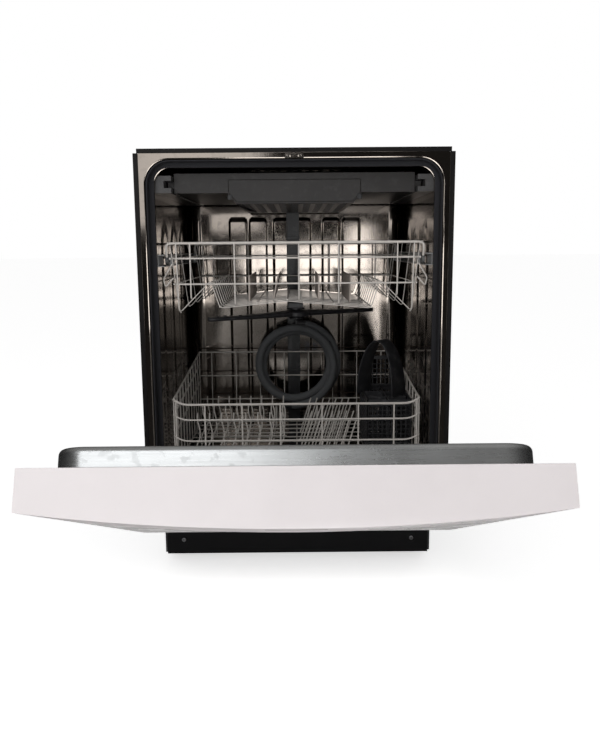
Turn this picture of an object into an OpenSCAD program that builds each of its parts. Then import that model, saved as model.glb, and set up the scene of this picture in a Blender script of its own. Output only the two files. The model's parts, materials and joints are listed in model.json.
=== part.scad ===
// Built-in dishwasher, door part open. X runs left to right, Y runs into the machine, Z is up.
// Lengths below are in millimetres. Depths are counted from the front plane of the tub flange.

/* [Cabinet] */
// Width over the two front posts
body_w = 590; // [500:1:720]
// Height from the floor to the top strip
body_h = 816; // [680:1:980]
// Depth from the flange plane to the back of the tub
body_d = 500; // [440:1:600]
// Width of each front post seen from the front
post_w = 9; // [6:0.5:14]
// Depth of each front post
post_d = 28; // [20:1:40]
// Height of the posts' lower ends
post_low_z = 100; // [90:1:120]
// Thickness of the posts' and top strip's sheet
post_t = 2; // [1:0.1:3]
// Height of the top strip
top_strip_h = 8; // [6:0.5:14]
// Depth of the top strip
top_strip_d = 40; // [30:1:60]
// Distance between the two worktop screw holes
worktop_hole_gap = 440; // [300:5:480]
// Radius of a worktop screw hole
worktop_hole_r = 2.6; // [2:0.1:4]

/* [Tub] */
// Width of the flat flange beside the opening
flange_w = 11; // [8:0.5:20]
// Width of the step that holds the door seal
seal_step = 13; // [10:0.5:18]
// Depth of the step that holds the door seal
seal_step_d = 25; // [16:0.5:30]
// Thickness of the door seal
seal_t = 4; // [3:0.5:6]
// Corner radius of the opening
opening_r = 45; // [25:1:60]
// Thickness of the tub's sheet
tub_t = 1.6; // [0.8:0.1:3]
// Height of the tub floor
tub_floor_z = 150; // [140:1:200]
// Height of the wheel ledges above the tub floor
ledge_h = 16; // [10:0.5:24]
// Width of a wheel ledge
ledge_w = 30; // [24:1:40]
// Thickness of the insulating jacket
jacket_t = 10; // [6:0.5:14]
// How far the back wall's pressed panels stand proud
emboss_h = 2; // [1:0.1:4]

/* [Base] */
// Height of the base tray's underside
base_z = 20; // [17:1:40]
// Wall of the base tray
base_t = 3; // [2:0.1:5]
// How far the base tray stays inside each side of the flange
base_inset = 15; // [10:1:20]
// Set-back of the base tray behind the flange plane
base_y = 50; // [40:1:70]
// Height of the toe kick's lower edge
kick_z = 17; // [10:1:25]
// Height of the toe kick's upper edge
kick_top_z = 98; // [80:1:104]
// Thickness of the toe kick
kick_t = 2; // [1:0.1:3]
// Radius of the sump opening
sump_r = 100; // [80:1:115]
// Radius of a levelling foot's stem
foot_stem_r = 5; // [4:0.5:6]
// Radius of a levelling foot's pad
foot_pad_r = 17; // [12:0.5:22]

/* [Door] */
// How far the door stands out past each post
door_overhang = 3.5; // [0:0.5:8]
// Thickness of the door without its bow
door_t = 47; // [38:1:58]
// How far the control panel bows out at its middle
door_bow = 19; // [8:0.5:24]
// Gap between the closed door and the flange plane
door_gap = 6; // [5:0.5:9]
// How far the top of the door stays below the top strip
door_top_gap = 5; // [3:0.5:10]
// How far the door hangs below its hinge
door_drop = 10; // [8:0.5:11]
// Height of the hinge above the floor
hinge_z = 121; // [116:1:130]
// How far the hinge lies in front of the flange plane
hinge_out = 25.3; // [20:0.1:30]
// Angle from closed at which the door stands
door_angle = 67.1; // [0:0.1:90]
// Sheet thickness of the door's outer panel
skin_t = 1.2; // [0.8:0.1:2]
// Height of the control panel
control_h = 121; // [90:1:150]
// Wall of the control panel
control_t = 3; // [2:0.1:4]
// Width of the finger pocket under the control panel
pocket_w = 180; // [120:5:260]
// Height of the finger pocket
pocket_h = 30; // [22:1:34]
// How far the inner liner stands into the tub
liner_rise = 26; // [20:0.5:30]
// Radius of the hinge pins
hinge_pin_r = 4; // [3:0.1:5]

/* [Controls] */
// Width of the power and start buttons
key_w = 22; // [14:1:30]
// Height of a button
key_h = 12; // [8:0.5:18]
// Distance between neighbouring buttons
key_pitch = 34; // [30:1:40]
// Travel of a button
key_travel = 1.5; // [1:0.1:3]
// Width of the display window
display_w = 70; // [40:1:90]

/* [Racks] */
// Thickness of the rack frames' wire
wire_d = 4.6; // [3.5:0.1:6]
// Thickness of the tines' wire
tine_d = 3.4; // [2.5:0.1:4.5]
// Gap between a rack's side and the tub's side
rack_gap = 18; // [16:0.5:24]
// Depth at which the racks start
rack_front = 45; // [40:1:60]
// How far the upper rack's top wire lies below the tub's top
upper_drop = 138; // [110:1:200]
// Height of the upper rack's basket
upper_h = 141; // [110:1:160]
// Height of the lower rack's front above its floor
lower_h = 130; // [100:1:170]
// How far the lower rack rises to its rear corners
lower_rise = 48; // [20:1:60]
// Height of the lower rack's floor above the tub floor
lower_lift = 50; // [46:1:60]
// Radius of the lower rack's wheels
lower_wheel_r = 17; // [12:0.5:17]
// Radius of the upper rack's wheels
upper_wheel_r = 9; // [6:0.5:12]
// Height of a tine
tine_h = 95; // [60:1:110]
// Length of each spray arm from its hub
arm_reach = 215; // [170:1:220]

/* [Cutlery] */
// Height of the cutlery tray's rim below the tub's top
tray_drop = 7; // [5:0.5:12]
// Depth of the tray's side shelves
tray_h = 36; // [26:1:44]
// Extra depth of the tray's middle trough
trough_h = 20; // [12:1:26]
// Width of the tray's middle trough
trough_w = 256; // [180:2:300]
// Width of the cutlery basket
basket_w = 92; // [80:1:124]
// Length of the cutlery basket
basket_l = 180; // [120:1:210]
// Height of the cutlery basket
basket_h = 124; // [90:1:140]
// Wall of the cutlery basket
basket_t = 2; // [1.5:0.1:3]

/* [Hose] */
// Outer diameter of the loose drain hose
hose_d = 19; // [14:0.5:21]
// Outer diameter of its coil
coil_d = 222; // [190:1:230]

/* [Hidden] */
$fn = 48;

// Clearances
fit_gap = 0.3;
run_gap = 0.05;
slide_gap = 0.5;
part_gap = 2;

// Cabinet and tub
flange_half = body_w / 2 - post_w;
opening_half = flange_half - flange_w;
tub_half = opening_half - seal_step;
flange_top_z = body_h - top_strip_h;
opening_top_z = flange_top_z - flange_w;
tub_top_z = opening_top_z - seal_step;
tub_r = opening_r - seal_step;
flange_low_z = tub_floor_z - 12;
striker_reach = 22;
field_w = 46;
field_gap = 4;
field_r = 8;
hinge_y = -hinge_out;

// Door, as it stands when closed
door_in_y = -door_gap;
door_out_y = door_in_y - door_t;
door_top_z = body_h - door_top_gap;
door_low_z = hinge_z - door_drop;
control_z = door_top_z - control_h;
door_w = body_w + 2 * door_overhang;
bow_r = (door_w * door_w / 4 + door_bow * door_bow) / (2 * door_bow);
bow_centre_y = door_out_y - door_bow + bow_r;

// The part's origin is on the floor, under the middle of the open machine
base_back = body_d + 20;
port_l = 16;
reach = (door_top_z - hinge_z) * sin(door_angle) + (hinge_y - door_out_y + door_bow) * cos(door_angle);
front_y = (reach - hinge_y - base_back - port_l) / 2;

// Racks
rack_half = tub_half - rack_gap;
rack_rear = body_d - 40;
upper_top_z = tub_top_z - upper_drop;
upper_low_z = upper_top_z - upper_h;
upper_floor_z = upper_low_z + 16;
rack_mid_y = (rack_front + rack_rear) / 2;
wheel_x = rack_half + wire_d / 2 + 2;
wheel_t = 8;
axle_r = 3;
upper_axle_z = upper_top_z - 33;
lower_axle_z = tub_floor_z + ledge_h + lower_wheel_r + fit_gap;
lower_floor_z = tub_floor_z + lower_lift;
lower_top_z = lower_floor_z + lower_h;
lower_corner_z = lower_top_z + 10;
lower_rear_z = lower_top_z + lower_rise;
rib_gap = 41;
duct_x = -6;
duct_w = 31;
duct_d = 26;
duct_y = body_d - emboss_h - duct_d;
field_pairs = [-tub_half * 0.69, duct_x - field_w - field_gap, tub_half * 0.23];
arm_t = 14;
arm_turn = 32;
arm_bore_r = 10;
lower_arm_z = tub_floor_z + 22;
upper_arm_z = upper_low_z - 19;

// Cutlery tray and basket
tray_top_z = tub_top_z - tray_drop;
tray_half = tub_half - 33;
tray_low_z = tray_top_z - tray_h;
trough_z = tray_low_z - trough_h;
tray_front = rack_front + 12;
tray_rear = duct_y - 20;
runner_z = tray_low_z + tray_h / 2 - 4;
runner_w = 14;
basket_x1 = rack_half - wire_d - 2;
basket_x0 = basket_x1 - basket_w;
basket_y0 = 95;
basket_z = lower_floor_z + wire_d / 2 + fit_gap;
basket_top_z = basket_z + basket_h;
basket_bow_h = 114;
bow_t = 3;
bow_w = 64;
tine_x1 = basket_x0 - 6;

// Hose coil, standing on edge in the lower rack on two raised wires
coil_t = 2 * hose_d + 2;
coil_y = rack_rear - 42;
cradle_x = 50;
cradle_z = lower_floor_z + 50;
coil_z = cradle_z + sqrt(pow(coil_d / 2 + wire_d / 2 + fit_gap, 2) - cradle_x * cradle_x);

// Base
base_half = flange_half - base_inset;
base_top_z = flange_low_z - fit_gap;
sump_y = 205;
arm_y = rack_mid_y;
cup_y = arm_y - 105;
cup_r = 32;
pump_r = 42;
foot_x = base_half - 32;
foot_front_y = base_y + 55;
foot_rear_y = base_back - 40;
valve_x = -200;
drain_x = 195;
port_z = 62;
cable_x = 90;
cable_r = 8;
thread_r = 13.2;
barb_r = 9.5;
bracket_x = flange_half - 16;
bracket_t = 3;
arm_x = bracket_x + bracket_t + fit_gap;

// Controls
key_x0 = 92;
display_x = 0;
key_z = control_z + 0.62 * control_h;

// ---------- shared shapes ----------

// Puts cabinet pieces behind the flange plane
module in_place() { translate([0, front_y, 0]) children(); }

// Turns the door's pieces from closed to where the door stands
module on_door() {
    in_place()
        translate([0, hinge_y, hinge_z])
            rotate([door_angle, 0, 0])
                translate([0, -hinge_y, -hinge_z])
                    children();
}

// A box from its low corner to its high corner
module block(a, b) { translate(a) cube(b - a); }

// A box and its mirror image across the middle plane
module block_pair(a, b) {
    block(a, b);
    mirror([1, 0, 0]) block(a, b);
}

// A round bar along X, Y or Z between two places on that axis
module bar_x(x0, x1, y, z, r) { translate([x0, y, z]) rotate([0, 90, 0]) cylinder(r = r, h = x1 - x0); }
module bar_y(y0, y1, x, z, r) { translate([x, y0, z]) rotate([-90, 0, 0]) cylinder(r = r, h = y1 - y0); }
module bar_z(z0, z1, x, y, r) { translate([x, y, z0]) cylinder(r = r, h = z1 - z0); }

// A straight rack wire: an eight-sided bar with flats towards the axes
module wire(len, d = wire_d) { rotate([0, 0, 22.5]) cylinder(d = d / cos(22.5), h = len, $fn = 8); }
module wire_x(x0, x1, y, z, d = wire_d) { translate([x0, y, z]) rotate([0, 90, 0]) wire(x1 - x0, d); }
module wire_y(y0, y1, x, z, d = wire_d) { translate([x, y0, z]) rotate([-90, 0, 0]) wire(y1 - y0, d); }
module wire_z(z0, z1, x, y, d = wire_d) { translate([x, y, z0]) wire(z1 - z0, d); }

// Draws an X-Z outline at depth y0 and gives it a thickness along Y
module slab_y(y0, t) { translate([0, y0 + t, 0]) rotate([90, 0, 0]) linear_extrude(t) children(); }

// Draws a Y-Z outline at x0 and gives it a thickness along X
module slab_x(x0, t) { translate([x0, 0, 0]) rotate([90, 0, 90]) linear_extrude(t) children(); }

function unit(v) = v / norm(v);
function side_of(a, b) = let (d = unit(b - a)) [-d[1], d[0]];
function corner_side(p, i) =
    i == 0 ? side_of(p[0], p[1])
    : i == len(p) - 1 ? side_of(p[i - 1], p[i])
    : let (n = side_of(p[i - 1], p[i]) + side_of(p[i], p[i + 1])) 2 * n / (n * n);
// A band of width t along an open run of points
function band(p, t) = concat(
    [for (i = [0:len(p) - 1]) p[i] + corner_side(p, i) * t / 2],
    [for (i = [len(p) - 1:-1:0]) p[i] - corner_side(p, i) * t / 2]);
function arc(c, r, a0, a1, n = 10) = [for (i = [0:n]) let (a = a0 + (a1 - a0) * i / n) c + r * [cos(a), sin(a)]];
function mirrored(p) = [for (i = [len(p) - 1:-1:0]) [-p[i][0], p[i][1]]];

// A doorway outline: square at the foot, rounded at the two top corners
function doorway(half, z0, z1, r) = concat(
    [[half, z0]],
    arc([half - r, z1 - r], r, 0, 90),
    arc([r - half, z1 - r], r, 90, 180),
    [[-half, z0]]);

// A rounded strip from -len/2 to len/2
function strip(len, w) = concat(
    arc([len / 2 - w / 2, 0], w / 2, -90, 90, 12),
    arc([w / 2 - len / 2, 0], w / 2, 90, 270, 12));

// ---------- cabinet ----------

module tub_shell() color("silver") in_place() {
    slab_y(seal_step_d, body_d - seal_step_d)
        difference() {
            polygon(doorway(tub_half + tub_t, tub_floor_z - tub_t, tub_top_z + tub_t, tub_r + tub_t));
            polygon(doorway(tub_half, 0, tub_top_z, tub_r));
        }
    slab_y(0, seal_step_d)
        difference() {
            polygon(doorway(opening_half + tub_t, flange_low_z, opening_top_z + tub_t, opening_r + tub_t));
            polygon(doorway(opening_half, 0, opening_top_z, opening_r));
        }
    slab_y(seal_step_d - tub_t, tub_t)
        difference() {
            polygon(doorway(opening_half + tub_t, flange_low_z, opening_top_z + tub_t, opening_r + tub_t));
            polygon(doorway(tub_half, 0, tub_top_z, tub_r));
        }
    slab_y(0, tub_t)
        difference() {
            translate([-flange_half, flange_low_z]) square([2 * flange_half, flange_top_z - flange_low_z]);
            polygon(doorway(opening_half, 0, opening_top_z, opening_r));
        }
}

// A narrow pressed field on the back wall, rounded at its top, with its left edge at x
module pressed_field(x) {
    z0 = tub_floor_z + 30;
    z1 = tub_top_z - 76 - field_r;
    translate([x, 0])
        polygon(concat(
            [[field_w, z0]],
            arc([field_w - field_r, z1], field_r, 0, 90, 5),
            arc([field_r, z1], field_r, 90, 180, 5),
            [[0, z0]]));
}

module tub_back() color("silver") in_place() {
    slab_y(body_d, tub_t)
        polygon(doorway(tub_half + tub_t, tub_floor_z - tub_t, tub_top_z + tub_t, tub_r + tub_t));
    slab_y(body_d - emboss_h, emboss_h)
        for (x = field_pairs, side = [0, 1]) pressed_field(x + side * (field_w + field_gap));
}

module tub_floor() color("silver") in_place() {
    difference() {
        union() {
            block([-tub_half, 0, tub_floor_z - tub_t], [tub_half, body_d, tub_floor_z]);
            block_pair([tub_half - ledge_w, seal_step_d, tub_floor_z], [tub_half, body_d, tub_floor_z + ledge_h]);
            block([-opening_half, 0, flange_low_z], [opening_half, tub_t, tub_floor_z]);
        }
        bar_z(0, body_h, 0, sump_y, sump_r);
    }
}

module door_seal() color("#1c1c1e") in_place() {
    slab_y(2, seal_step_d - tub_t - 2)
        difference() {
            polygon(doorway(opening_half, tub_floor_z, opening_top_z, opening_r));
            polygon(doorway(opening_half - seal_t, 0, opening_top_z - seal_t, opening_r - seal_t));
        }
}

// A folded front post, hollow towards the rear
module post() {
    difference() {
        block([flange_half, -post_t, post_low_z], [body_w / 2, post_d, flange_top_z]);
        block([flange_half - 1, tub_t, post_low_z - 1], [body_w / 2 - post_t, post_d + 1, flange_top_z + 1]);
    }
    block([flange_half, post_d - post_t, post_low_z], [body_w / 2 - post_t, post_d, flange_top_z]);
}

module front_posts() color("#202022") in_place() {
    post();
    mirror([1, 0, 0]) post();
}
module top_strip() color("#202022") in_place() {
    half = flange_half + 2;
    difference() {
        union() {
            block([-half, -post_t, flange_top_z], [half, tub_t, body_h]);
            block([-half, tub_t, body_h - post_t], [half, top_strip_d, body_h]);
            block([-half, top_strip_d - post_t, flange_top_z - 4], [half, top_strip_d, body_h - post_t]);
        }
        for (x = [-1, 1])
            bar_z(flange_top_z, body_h + 1, x * worktop_hole_gap / 2, top_strip_d / 2, worktop_hole_r);
    }
}

module insulation_jacket() color("#3a3a3c") in_place() {
    inner = tub_half + tub_t + part_gap;
    inner_top = tub_top_z + tub_t + part_gap;
    slab_y(post_d + part_gap, body_d - post_d - part_gap)
        difference() {
            polygon(doorway(inner + jacket_t, base_top_z, inner_top + jacket_t, tub_r + 10));
            polygon(doorway(inner, 0, inner_top, tub_r));
        }
    slab_y(body_d + tub_t, jacket_t)
        polygon(doorway(tub_half, base_top_z, tub_top_z, tub_r));
}

module base_tray() color("#26272a") in_place() {
    difference() {
        union() {
            difference() {
                block([-base_half, base_y, base_z], [base_half, base_back, base_top_z]);
                block([-base_half + base_t, base_y + base_t, base_z + base_t],
                      [base_half - base_t, base_back - base_t, base_top_z + 1]);
            }
            for (p = foot_places) bar_z(base_z, base_z + 40, p[0], p[1], foot_stem_r + 6);
        }
        for (p = foot_places) bar_z(base_z - 1, base_z + 41, p[0], p[1], foot_stem_r + run_gap);
        bar_y(base_back - base_t - 1, base_back + 1, valve_x, port_z, thread_r + 1);
        bar_y(base_back - base_t - 1, base_back + 1, drain_x, port_z, barb_r + 1);
        bar_y(base_back - base_t - 1, base_back + 1, cable_x, port_z, cable_r);
        bar_y(base_y - 1, base_y + base_t + 1, kick_screw_x, kick_screw_z, 2);
        bar_y(base_y - 1, base_y + base_t + 1, -kick_screw_x, kick_screw_z, 2);
    }
}
foot_places = [[-foot_x, foot_front_y], [foot_x, foot_front_y], [0, foot_rear_y]];
kick_screw_x = base_half - 38;
kick_screw_z = kick_z + 30;
screw_r = 1.9;
screw_head_r = 4.2;
screw_head_t = 2.2;

module toe_kick() color("#17171a") in_place() {
    difference() {
        union() {
            block([-base_half + 4, base_y - kick_t, kick_z], [base_half - 4, base_y, kick_top_z]);
            block([-base_half + 4, base_y - 10, kick_top_z - kick_t], [base_half - 4, base_y - kick_t, kick_top_z]);
        }
        for (x = [-1, 1]) bar_y(base_y - 4, base_y + 1, x * kick_screw_x, kick_screw_z, screw_r + fit_gap);
    }
}

module toe_kick_screws() color("#8d8d90") in_place() {
    for (x = [-1, 1]) {
        bar_y(base_y - kick_t, base_y + 9, x * kick_screw_x, kick_screw_z, screw_r);
        bar_y(base_y - kick_t - screw_head_t, base_y - kick_t, x * kick_screw_x, kick_screw_z, screw_head_r);
    }
}

// A plate with a loop of bar that the door's hook catches
module latch_striker() color("silver") in_place() {
    z = (flange_top_z + opening_top_z) / 2;
    plate_t = 2;
    half = 9;
    bar = 3;
    h = 1.2;
    block([-2 * half, -plate_t, z - 5], [2 * half, 0, z + 5]);
    block_pair([half - bar, -striker_reach + bar, z - h], [half, -plate_t, z + h]);
    block([-half, -striker_reach, z - h], [half, -striker_reach + bar, z + h]);
}

module feed_duct() color("#1b1b1e") in_place() {
    difference() {
        union() {
            block([duct_x - duct_w / 2, duct_y, tub_floor_z], [duct_x + duct_w / 2, body_d - emboss_h, tub_top_z]);
            block([duct_x - duct_w / 2, duct_y - 90, tub_top_z - tray_drop + 2],
                  [duct_x + duct_w / 2, duct_y, tub_top_z]);
            bar_z(tray_top_z + slide_gap, tray_top_z + 2, duct_x, duct_y - 75, 13);
        }
        bar_y(duct_y - 1, duct_y + 12, duct_x, upper_tube_z, 8);
    }
}
upper_tube_z = upper_floor_z - wire_d / 2 - 8;

// A channel on the tub's side, open towards the middle, which the upper rack's wheels run in
module upper_rail() color("#a9a9ab") {
    x0 = wheel_x + 1;
    gap = upper_wheel_r + slide_gap;
    for (s = [-1, 1])
        translate([0, 0, upper_axle_z + s * (gap + 1)])
            block([x0, seal_step_d + 4, -1], [tub_half - 1.5, rack_rear + 20, 1]);
    block([tub_half - 1.5, seal_step_d + 4, upper_axle_z - gap - 2], [tub_half, rack_rear + 20, upper_axle_z + gap + 2]);
}
module upper_rail_right() in_place() upper_rail();
module upper_rail_left() in_place() mirror([1, 0, 0]) upper_rail();

// A channel under the tub's top, open towards the middle, which the cutlery tray's runners slide in
module tray_rail() color("#9a9a9c") {
    slab_y(seal_step_d + 8, tray_rear - seal_step_d + 2)
        intersection() {
            difference() {
                translate([tray_half + 3, runner_z - 16]) square([tub_half, 32]);
                translate([tray_half + 2, runner_z - 6 - slide_gap]) square([runner_w + 1, 12 + 2 * slide_gap]);
            }
            polygon(doorway(tub_half, 0, tub_top_z, tub_r));
        }
}
module tray_rail_right() in_place() tray_rail();
module tray_rail_left() in_place() mirror([1, 0, 0]) tray_rail();

// ---------- base equipment ----------

module sump() color("#2b2c30") in_place() {
    r = sump_r - fit_gap;
    difference() {
        bar_z(base_z + base_t + 12, tub_floor_z, 0, sump_y, r);
        bar_z(base_z + base_t + 15, tub_floor_z + 1, 0, sump_y, r - 3);
    }
    bar_z(base_z + base_t, base_z + base_t + 12, 0, sump_y, 40);
    bar_z(base_z + base_t + 12, lower_arm_z - part_gap, 0, arm_y, 20);
    bar_z(lower_arm_z - part_gap, lower_arm_z + arm_t + 4, 0, arm_y, arm_bore_r - run_gap);
}

module filter_screen() color("#8c8c8e") in_place() {
    difference() {
        bar_z(tub_floor_z - 4, tub_floor_z - 2.5, 0, sump_y, sump_r - 3 - 2 * fit_gap);
        bar_z(0, body_h, 0, arm_y, 20 + fit_gap);
        bar_z(0, body_h, 0, cup_y, cup_r + fit_gap);
    }
}

module filter_cup() color("#5a5b5f") in_place() {
    difference() {
        bar_z(tub_floor_z - 60, tub_floor_z + 4, 0, cup_y, cup_r);
        bar_z(tub_floor_z - 57, tub_floor_z + 5, 0, cup_y, cup_r - 2.5);
    }
    block([1.5 - cup_r, cup_y - 2, tub_floor_z - 8], [cup_r - 1.5, cup_y + 2, tub_floor_z + 3]);
}

// A motor on its side with a foot that stands on the base tray
module motor(x, y, r, len) {
    z = base_z + base_t + r + 4;
    bar_x(x, x + len, y, z, r);
    bar_x(x - 14, x, y, z, r * 0.55);
    bar_x(x + len, x + len + 9, y, z, r * 0.4);
    block([x + len * 0.2, y - r * 0.5, base_z + base_t], [x + len * 0.8, y + r * 0.5, z]);
}

module wash_pump() color("#3c4a5a") in_place() motor(sump_r + 24, sump_y, pump_r, 82);

module drain_pump() color("#4a4f58") in_place() {
    r = 24;
    motor(drain_x - 56, base_back - 85, r, 62);
    bar_y(base_back - 85, base_back - 6, drain_x, port_z, barb_r + 2);
    bar_y(base_back - 6, base_back + port_l, drain_x, port_z, barb_r);
}

module inlet_valve() color("#d8d8d2") in_place() {
    block([valve_x - 24, base_back - 60, base_z + base_t], [valve_x + 24, base_back - 16, port_z + 20]);
    bar_y(base_back - 16, base_back + port_l, valve_x, port_z, thread_r);
}

// Plates on the base tray's front that carry the hinge pins
module hinge_bracket() {
    block([bracket_x - 8, base_y - 2, kick_top_z + 2], [bracket_x + bracket_t + 6, base_y, base_top_z]);
    block([bracket_x, hinge_y, hinge_z - 10], [bracket_x + bracket_t, base_y - 2, hinge_z + 10]);
    bar_x(bracket_x, bracket_x + bracket_t, hinge_y, hinge_z, 10);
    bar_x(bracket_x + bracket_t, bracket_x + bracket_t + 9, hinge_y, hinge_z, hinge_pin_r);
}
module hinge_brackets() color("#b9babc") in_place() {
    hinge_bracket();
    mirror([1, 0, 0]) hinge_bracket();
}

module foot(p) color("#2a2a2c") in_place() {
    bar_z(0, 10, p[0], p[1], foot_pad_r);
    translate([p[0], p[1], 10]) cylinder(r = 9, h = base_z - 10, $fn = 6);
    bar_z(base_z, base_z + 52, p[0], p[1], foot_stem_r);
}
module foot_front_left() foot(foot_places[0]);
module foot_front_right() foot(foot_places[1]);
module foot_rear() foot(foot_places[2]);

// A spray arm with its hub on the Z axis, lying along X
module spray_arm() {
    difference() {
        union() {
            linear_extrude(arm_t) polygon(strip(2 * arm_reach, 42));
            cylinder(r = 30, h = arm_t);
        }
        translate([0, 0, -1]) cylinder(r = arm_bore_r, h = arm_t + 2);
    }
}
module lower_spray_arm() color("#232326") in_place() translate([0, arm_y, lower_arm_z]) spray_arm();

// ---------- door ----------

slot_x0 = bracket_x - 2;
slot_x1 = arm_x + 6;
door_half = door_w / 2;
liner_half = opening_half - seal_t - 1;
liner_z0 = tub_floor_z + ledge_h + 4;
liner_r = opening_r - seal_t - 1;
liner_z1 = opening_top_z - seal_t - 2;
liner_y = door_in_y + liner_rise;
rim_half = door_half - control_t - fit_gap;
rim_top_z = door_top_z - 6;
disp_half = 84;
disp_z0 = door_low_z + 0.34 * (door_top_z - door_low_z);
disp_h = 150;
disp_d = 34;

// Room for the hinge plates through the lower inner corner of the door
module hinge_slots() {
    block_pair([slot_x0, hinge_y - 14, door_low_z - 1], [slot_x1, 1, hinge_z + 15]);
}

module door_panel() color("#ecebe8") on_door() {
    difference() {
        block([-door_half, door_out_y, door_low_z], [door_half, door_in_y - skin_t, control_z - 1]);
        block([-door_half + skin_t, door_out_y + skin_t, door_low_z + skin_t],
              [door_half - skin_t, door_in_y, control_z]);
        hinge_slots();
    }
}

// Outline of the control panel from above, with its bowed front set in by t
module bowed_outline(t) {
    intersection() {
        translate([0, bow_centre_y]) circle(r = bow_r - t, $fn = 360);
        translate([t - door_half, door_out_y - door_bow]) square([door_w - 2 * t, door_t + door_bow]);
    }
}

module control_panel() color("#ecebe8") on_door() {
    pocket_y = door_out_y + 6;
    pocket_t = control_t - 1;
    difference() {
        translate([0, 0, control_z]) linear_extrude(control_h) bowed_outline(0);
        difference() {
            translate([0, 0, control_z - 1]) linear_extrude(control_h + 1 - control_t) hollow_outline();
            block([-pocket_w / 2 - pocket_t, door_out_y - door_bow, control_z - 2],
                  [pocket_w / 2 + pocket_t, pocket_y + pocket_t, control_z + pocket_h + pocket_t]);
            block([-door_half, door_in_y - control_t, rim_top_z + fit_gap], [door_half, 1, door_top_z]);
        }
        intersection() {
            translate([0, 0, control_z - 1]) linear_extrude(control_h) bowed_outline(control_t);
            block([-pocket_w / 2, door_out_y - door_bow, control_z - 1], [pocket_w / 2, pocket_y, control_z + pocket_h]);
        }
        for (i = [0:3]) key_hole(i);
        window_box(fit_gap);
        block([-15, -30, opening_top_z - 3], [15, 1, flange_top_z - 2]);
    }
}

// The control panel's inside, open towards the liner
module hollow_outline() {
    bowed_outline(control_t);
    translate([control_t - door_half, door_in_y - control_t - 1]) square([door_w - 2 * control_t, door_t]);
}

function key_x(i) = key_x0 + i * key_pitch;
module key_hole(i) {
    block([key_x(i) - key_w / 2 - fit_gap, door_out_y - door_bow - 1, key_z - key_h / 2 - fit_gap],
          [key_x(i) + key_w / 2 + fit_gap, door_out_y + 10, key_z + key_h / 2 + fit_gap]);
}
module window_box(g) {
    block([display_x - display_w / 2 - g, door_out_y - door_bow - 1, key_z - 10 - g],
          [display_x + display_w / 2 + g, door_out_y + 4, key_z + 10 + g]);
}

// A button, cut from a block whose face follows the bowed front
module key(i) on_door() {
    intersection() {
        translate([0, 0, control_z]) linear_extrude(control_h)
            difference() {
                bowed_outline(-0.8);
                bowed_outline(5);
            }
        block([key_x(i) - key_w / 2, door_out_y - 2 * door_bow, key_z - key_h / 2],
              [key_x(i) + key_w / 2, door_out_y + 30, key_z + key_h / 2]);
    }
}
module power_button() color("#c9c9c6") key(0);
module program_button_1() color("#dcdcda") key(1);
module program_button_2() color("#dcdcda") key(2);
module start_button() color("#c9c9c6") key(3);

module display_window() color("#101418") on_door() {
    intersection() {
        translate([0, 0, control_z]) linear_extrude(control_h)
            difference() {
                bowed_outline(0.2);
                bowed_outline(2.8);
            }
        window_box(0);
    }
}

module control_board() color("#2f6b3c") on_door() {
    y = door_out_y + 9 + key_travel;
    block([-60, y, key_z - 28], [key_x(3) + 24, y + 1.6, key_z + 14]);
    block([-50, y + 1.6, key_z - 24], [60, y + 14, key_z + 6]);
    block_pair([34, y + 14, key_z - 16], [42, door_in_y - skin_t, key_z - 8]);
}

// The inner liner: a flat rim and a hollow raised field that stands into the tub
module door_liner() color("silver") on_door() {
    t = skin_t;
    difference() {
        union() {
            block([-rim_half, door_in_y - t, door_low_z], [rim_half, door_in_y, rim_top_z]);
            slab_y(door_in_y, liner_rise) polygon(doorway(liner_half, liner_z0, liner_z1, liner_r));
        }
        slab_y(door_in_y - t - 1, liner_rise + 1)
            polygon(doorway(liner_half - t, liner_z0 + t, liner_z1 - t, liner_r - t));
        block([-disp_half, -door_t, disp_z0], [disp_half, liner_y + 1, disp_z0 + disp_h]);
        hinge_slots();
        block([-15, door_in_y - t - 1, opening_top_z - 2], [15, 1, door_top_z]);
    }
}

// A hinge arm on the door, with the bore that turns on the fixed pin
module hinge_arm() {
    difference() {
        union() {
            block([arm_x, hinge_y - 9, hinge_z], [arm_x + 3, hinge_y + 9, hinge_z + 190]);
            bar_x(arm_x, arm_x + 3, hinge_y, hinge_z, 9);
            block([arm_x, hinge_y + 9, hinge_z + 40], [arm_x + 3, door_in_y - skin_t, hinge_z + 190]);
        }
        bar_x(arm_x - 1, arm_x + 4, hinge_y, hinge_z, hinge_pin_r + run_gap);
    }
}
module hinge_arm_right() color("#b9babc") on_door() hinge_arm();
module hinge_arm_left() color("#b9babc") on_door() mirror([1, 0, 0]) hinge_arm();

module latch_housing() color("#2b2b2e") on_door() {
    z0 = opening_top_z - 12;
    z1 = door_top_z - control_t;
    difference() {
        block([-20, door_in_y - 34, z0], [20, door_in_y - control_t, z1]);
        block([-13, door_in_y - 22, opening_top_z], [13, 0, flange_top_z - 2]);
        block([-6, door_in_y - 33, z0 - 1], [6, 0, opening_top_z + 1]);
        bar_x(-14, 14, door_in_y - 28, z0 + 6, 2.05);
    }
}

module latch_hook() color("#8f9092") on_door() {
    z0 = opening_top_z - 12;
    bar_x(-13.8, 13.8, door_in_y - 28, z0 + 6, 2);
    block([-3, door_in_y - 30, z0 + 4], [3, door_in_y - 8, z0 + 8]);
    block([-3, door_in_y - 12, z0 + 8], [3, door_in_y - 8, z0 + 11.5]);
}

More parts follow.
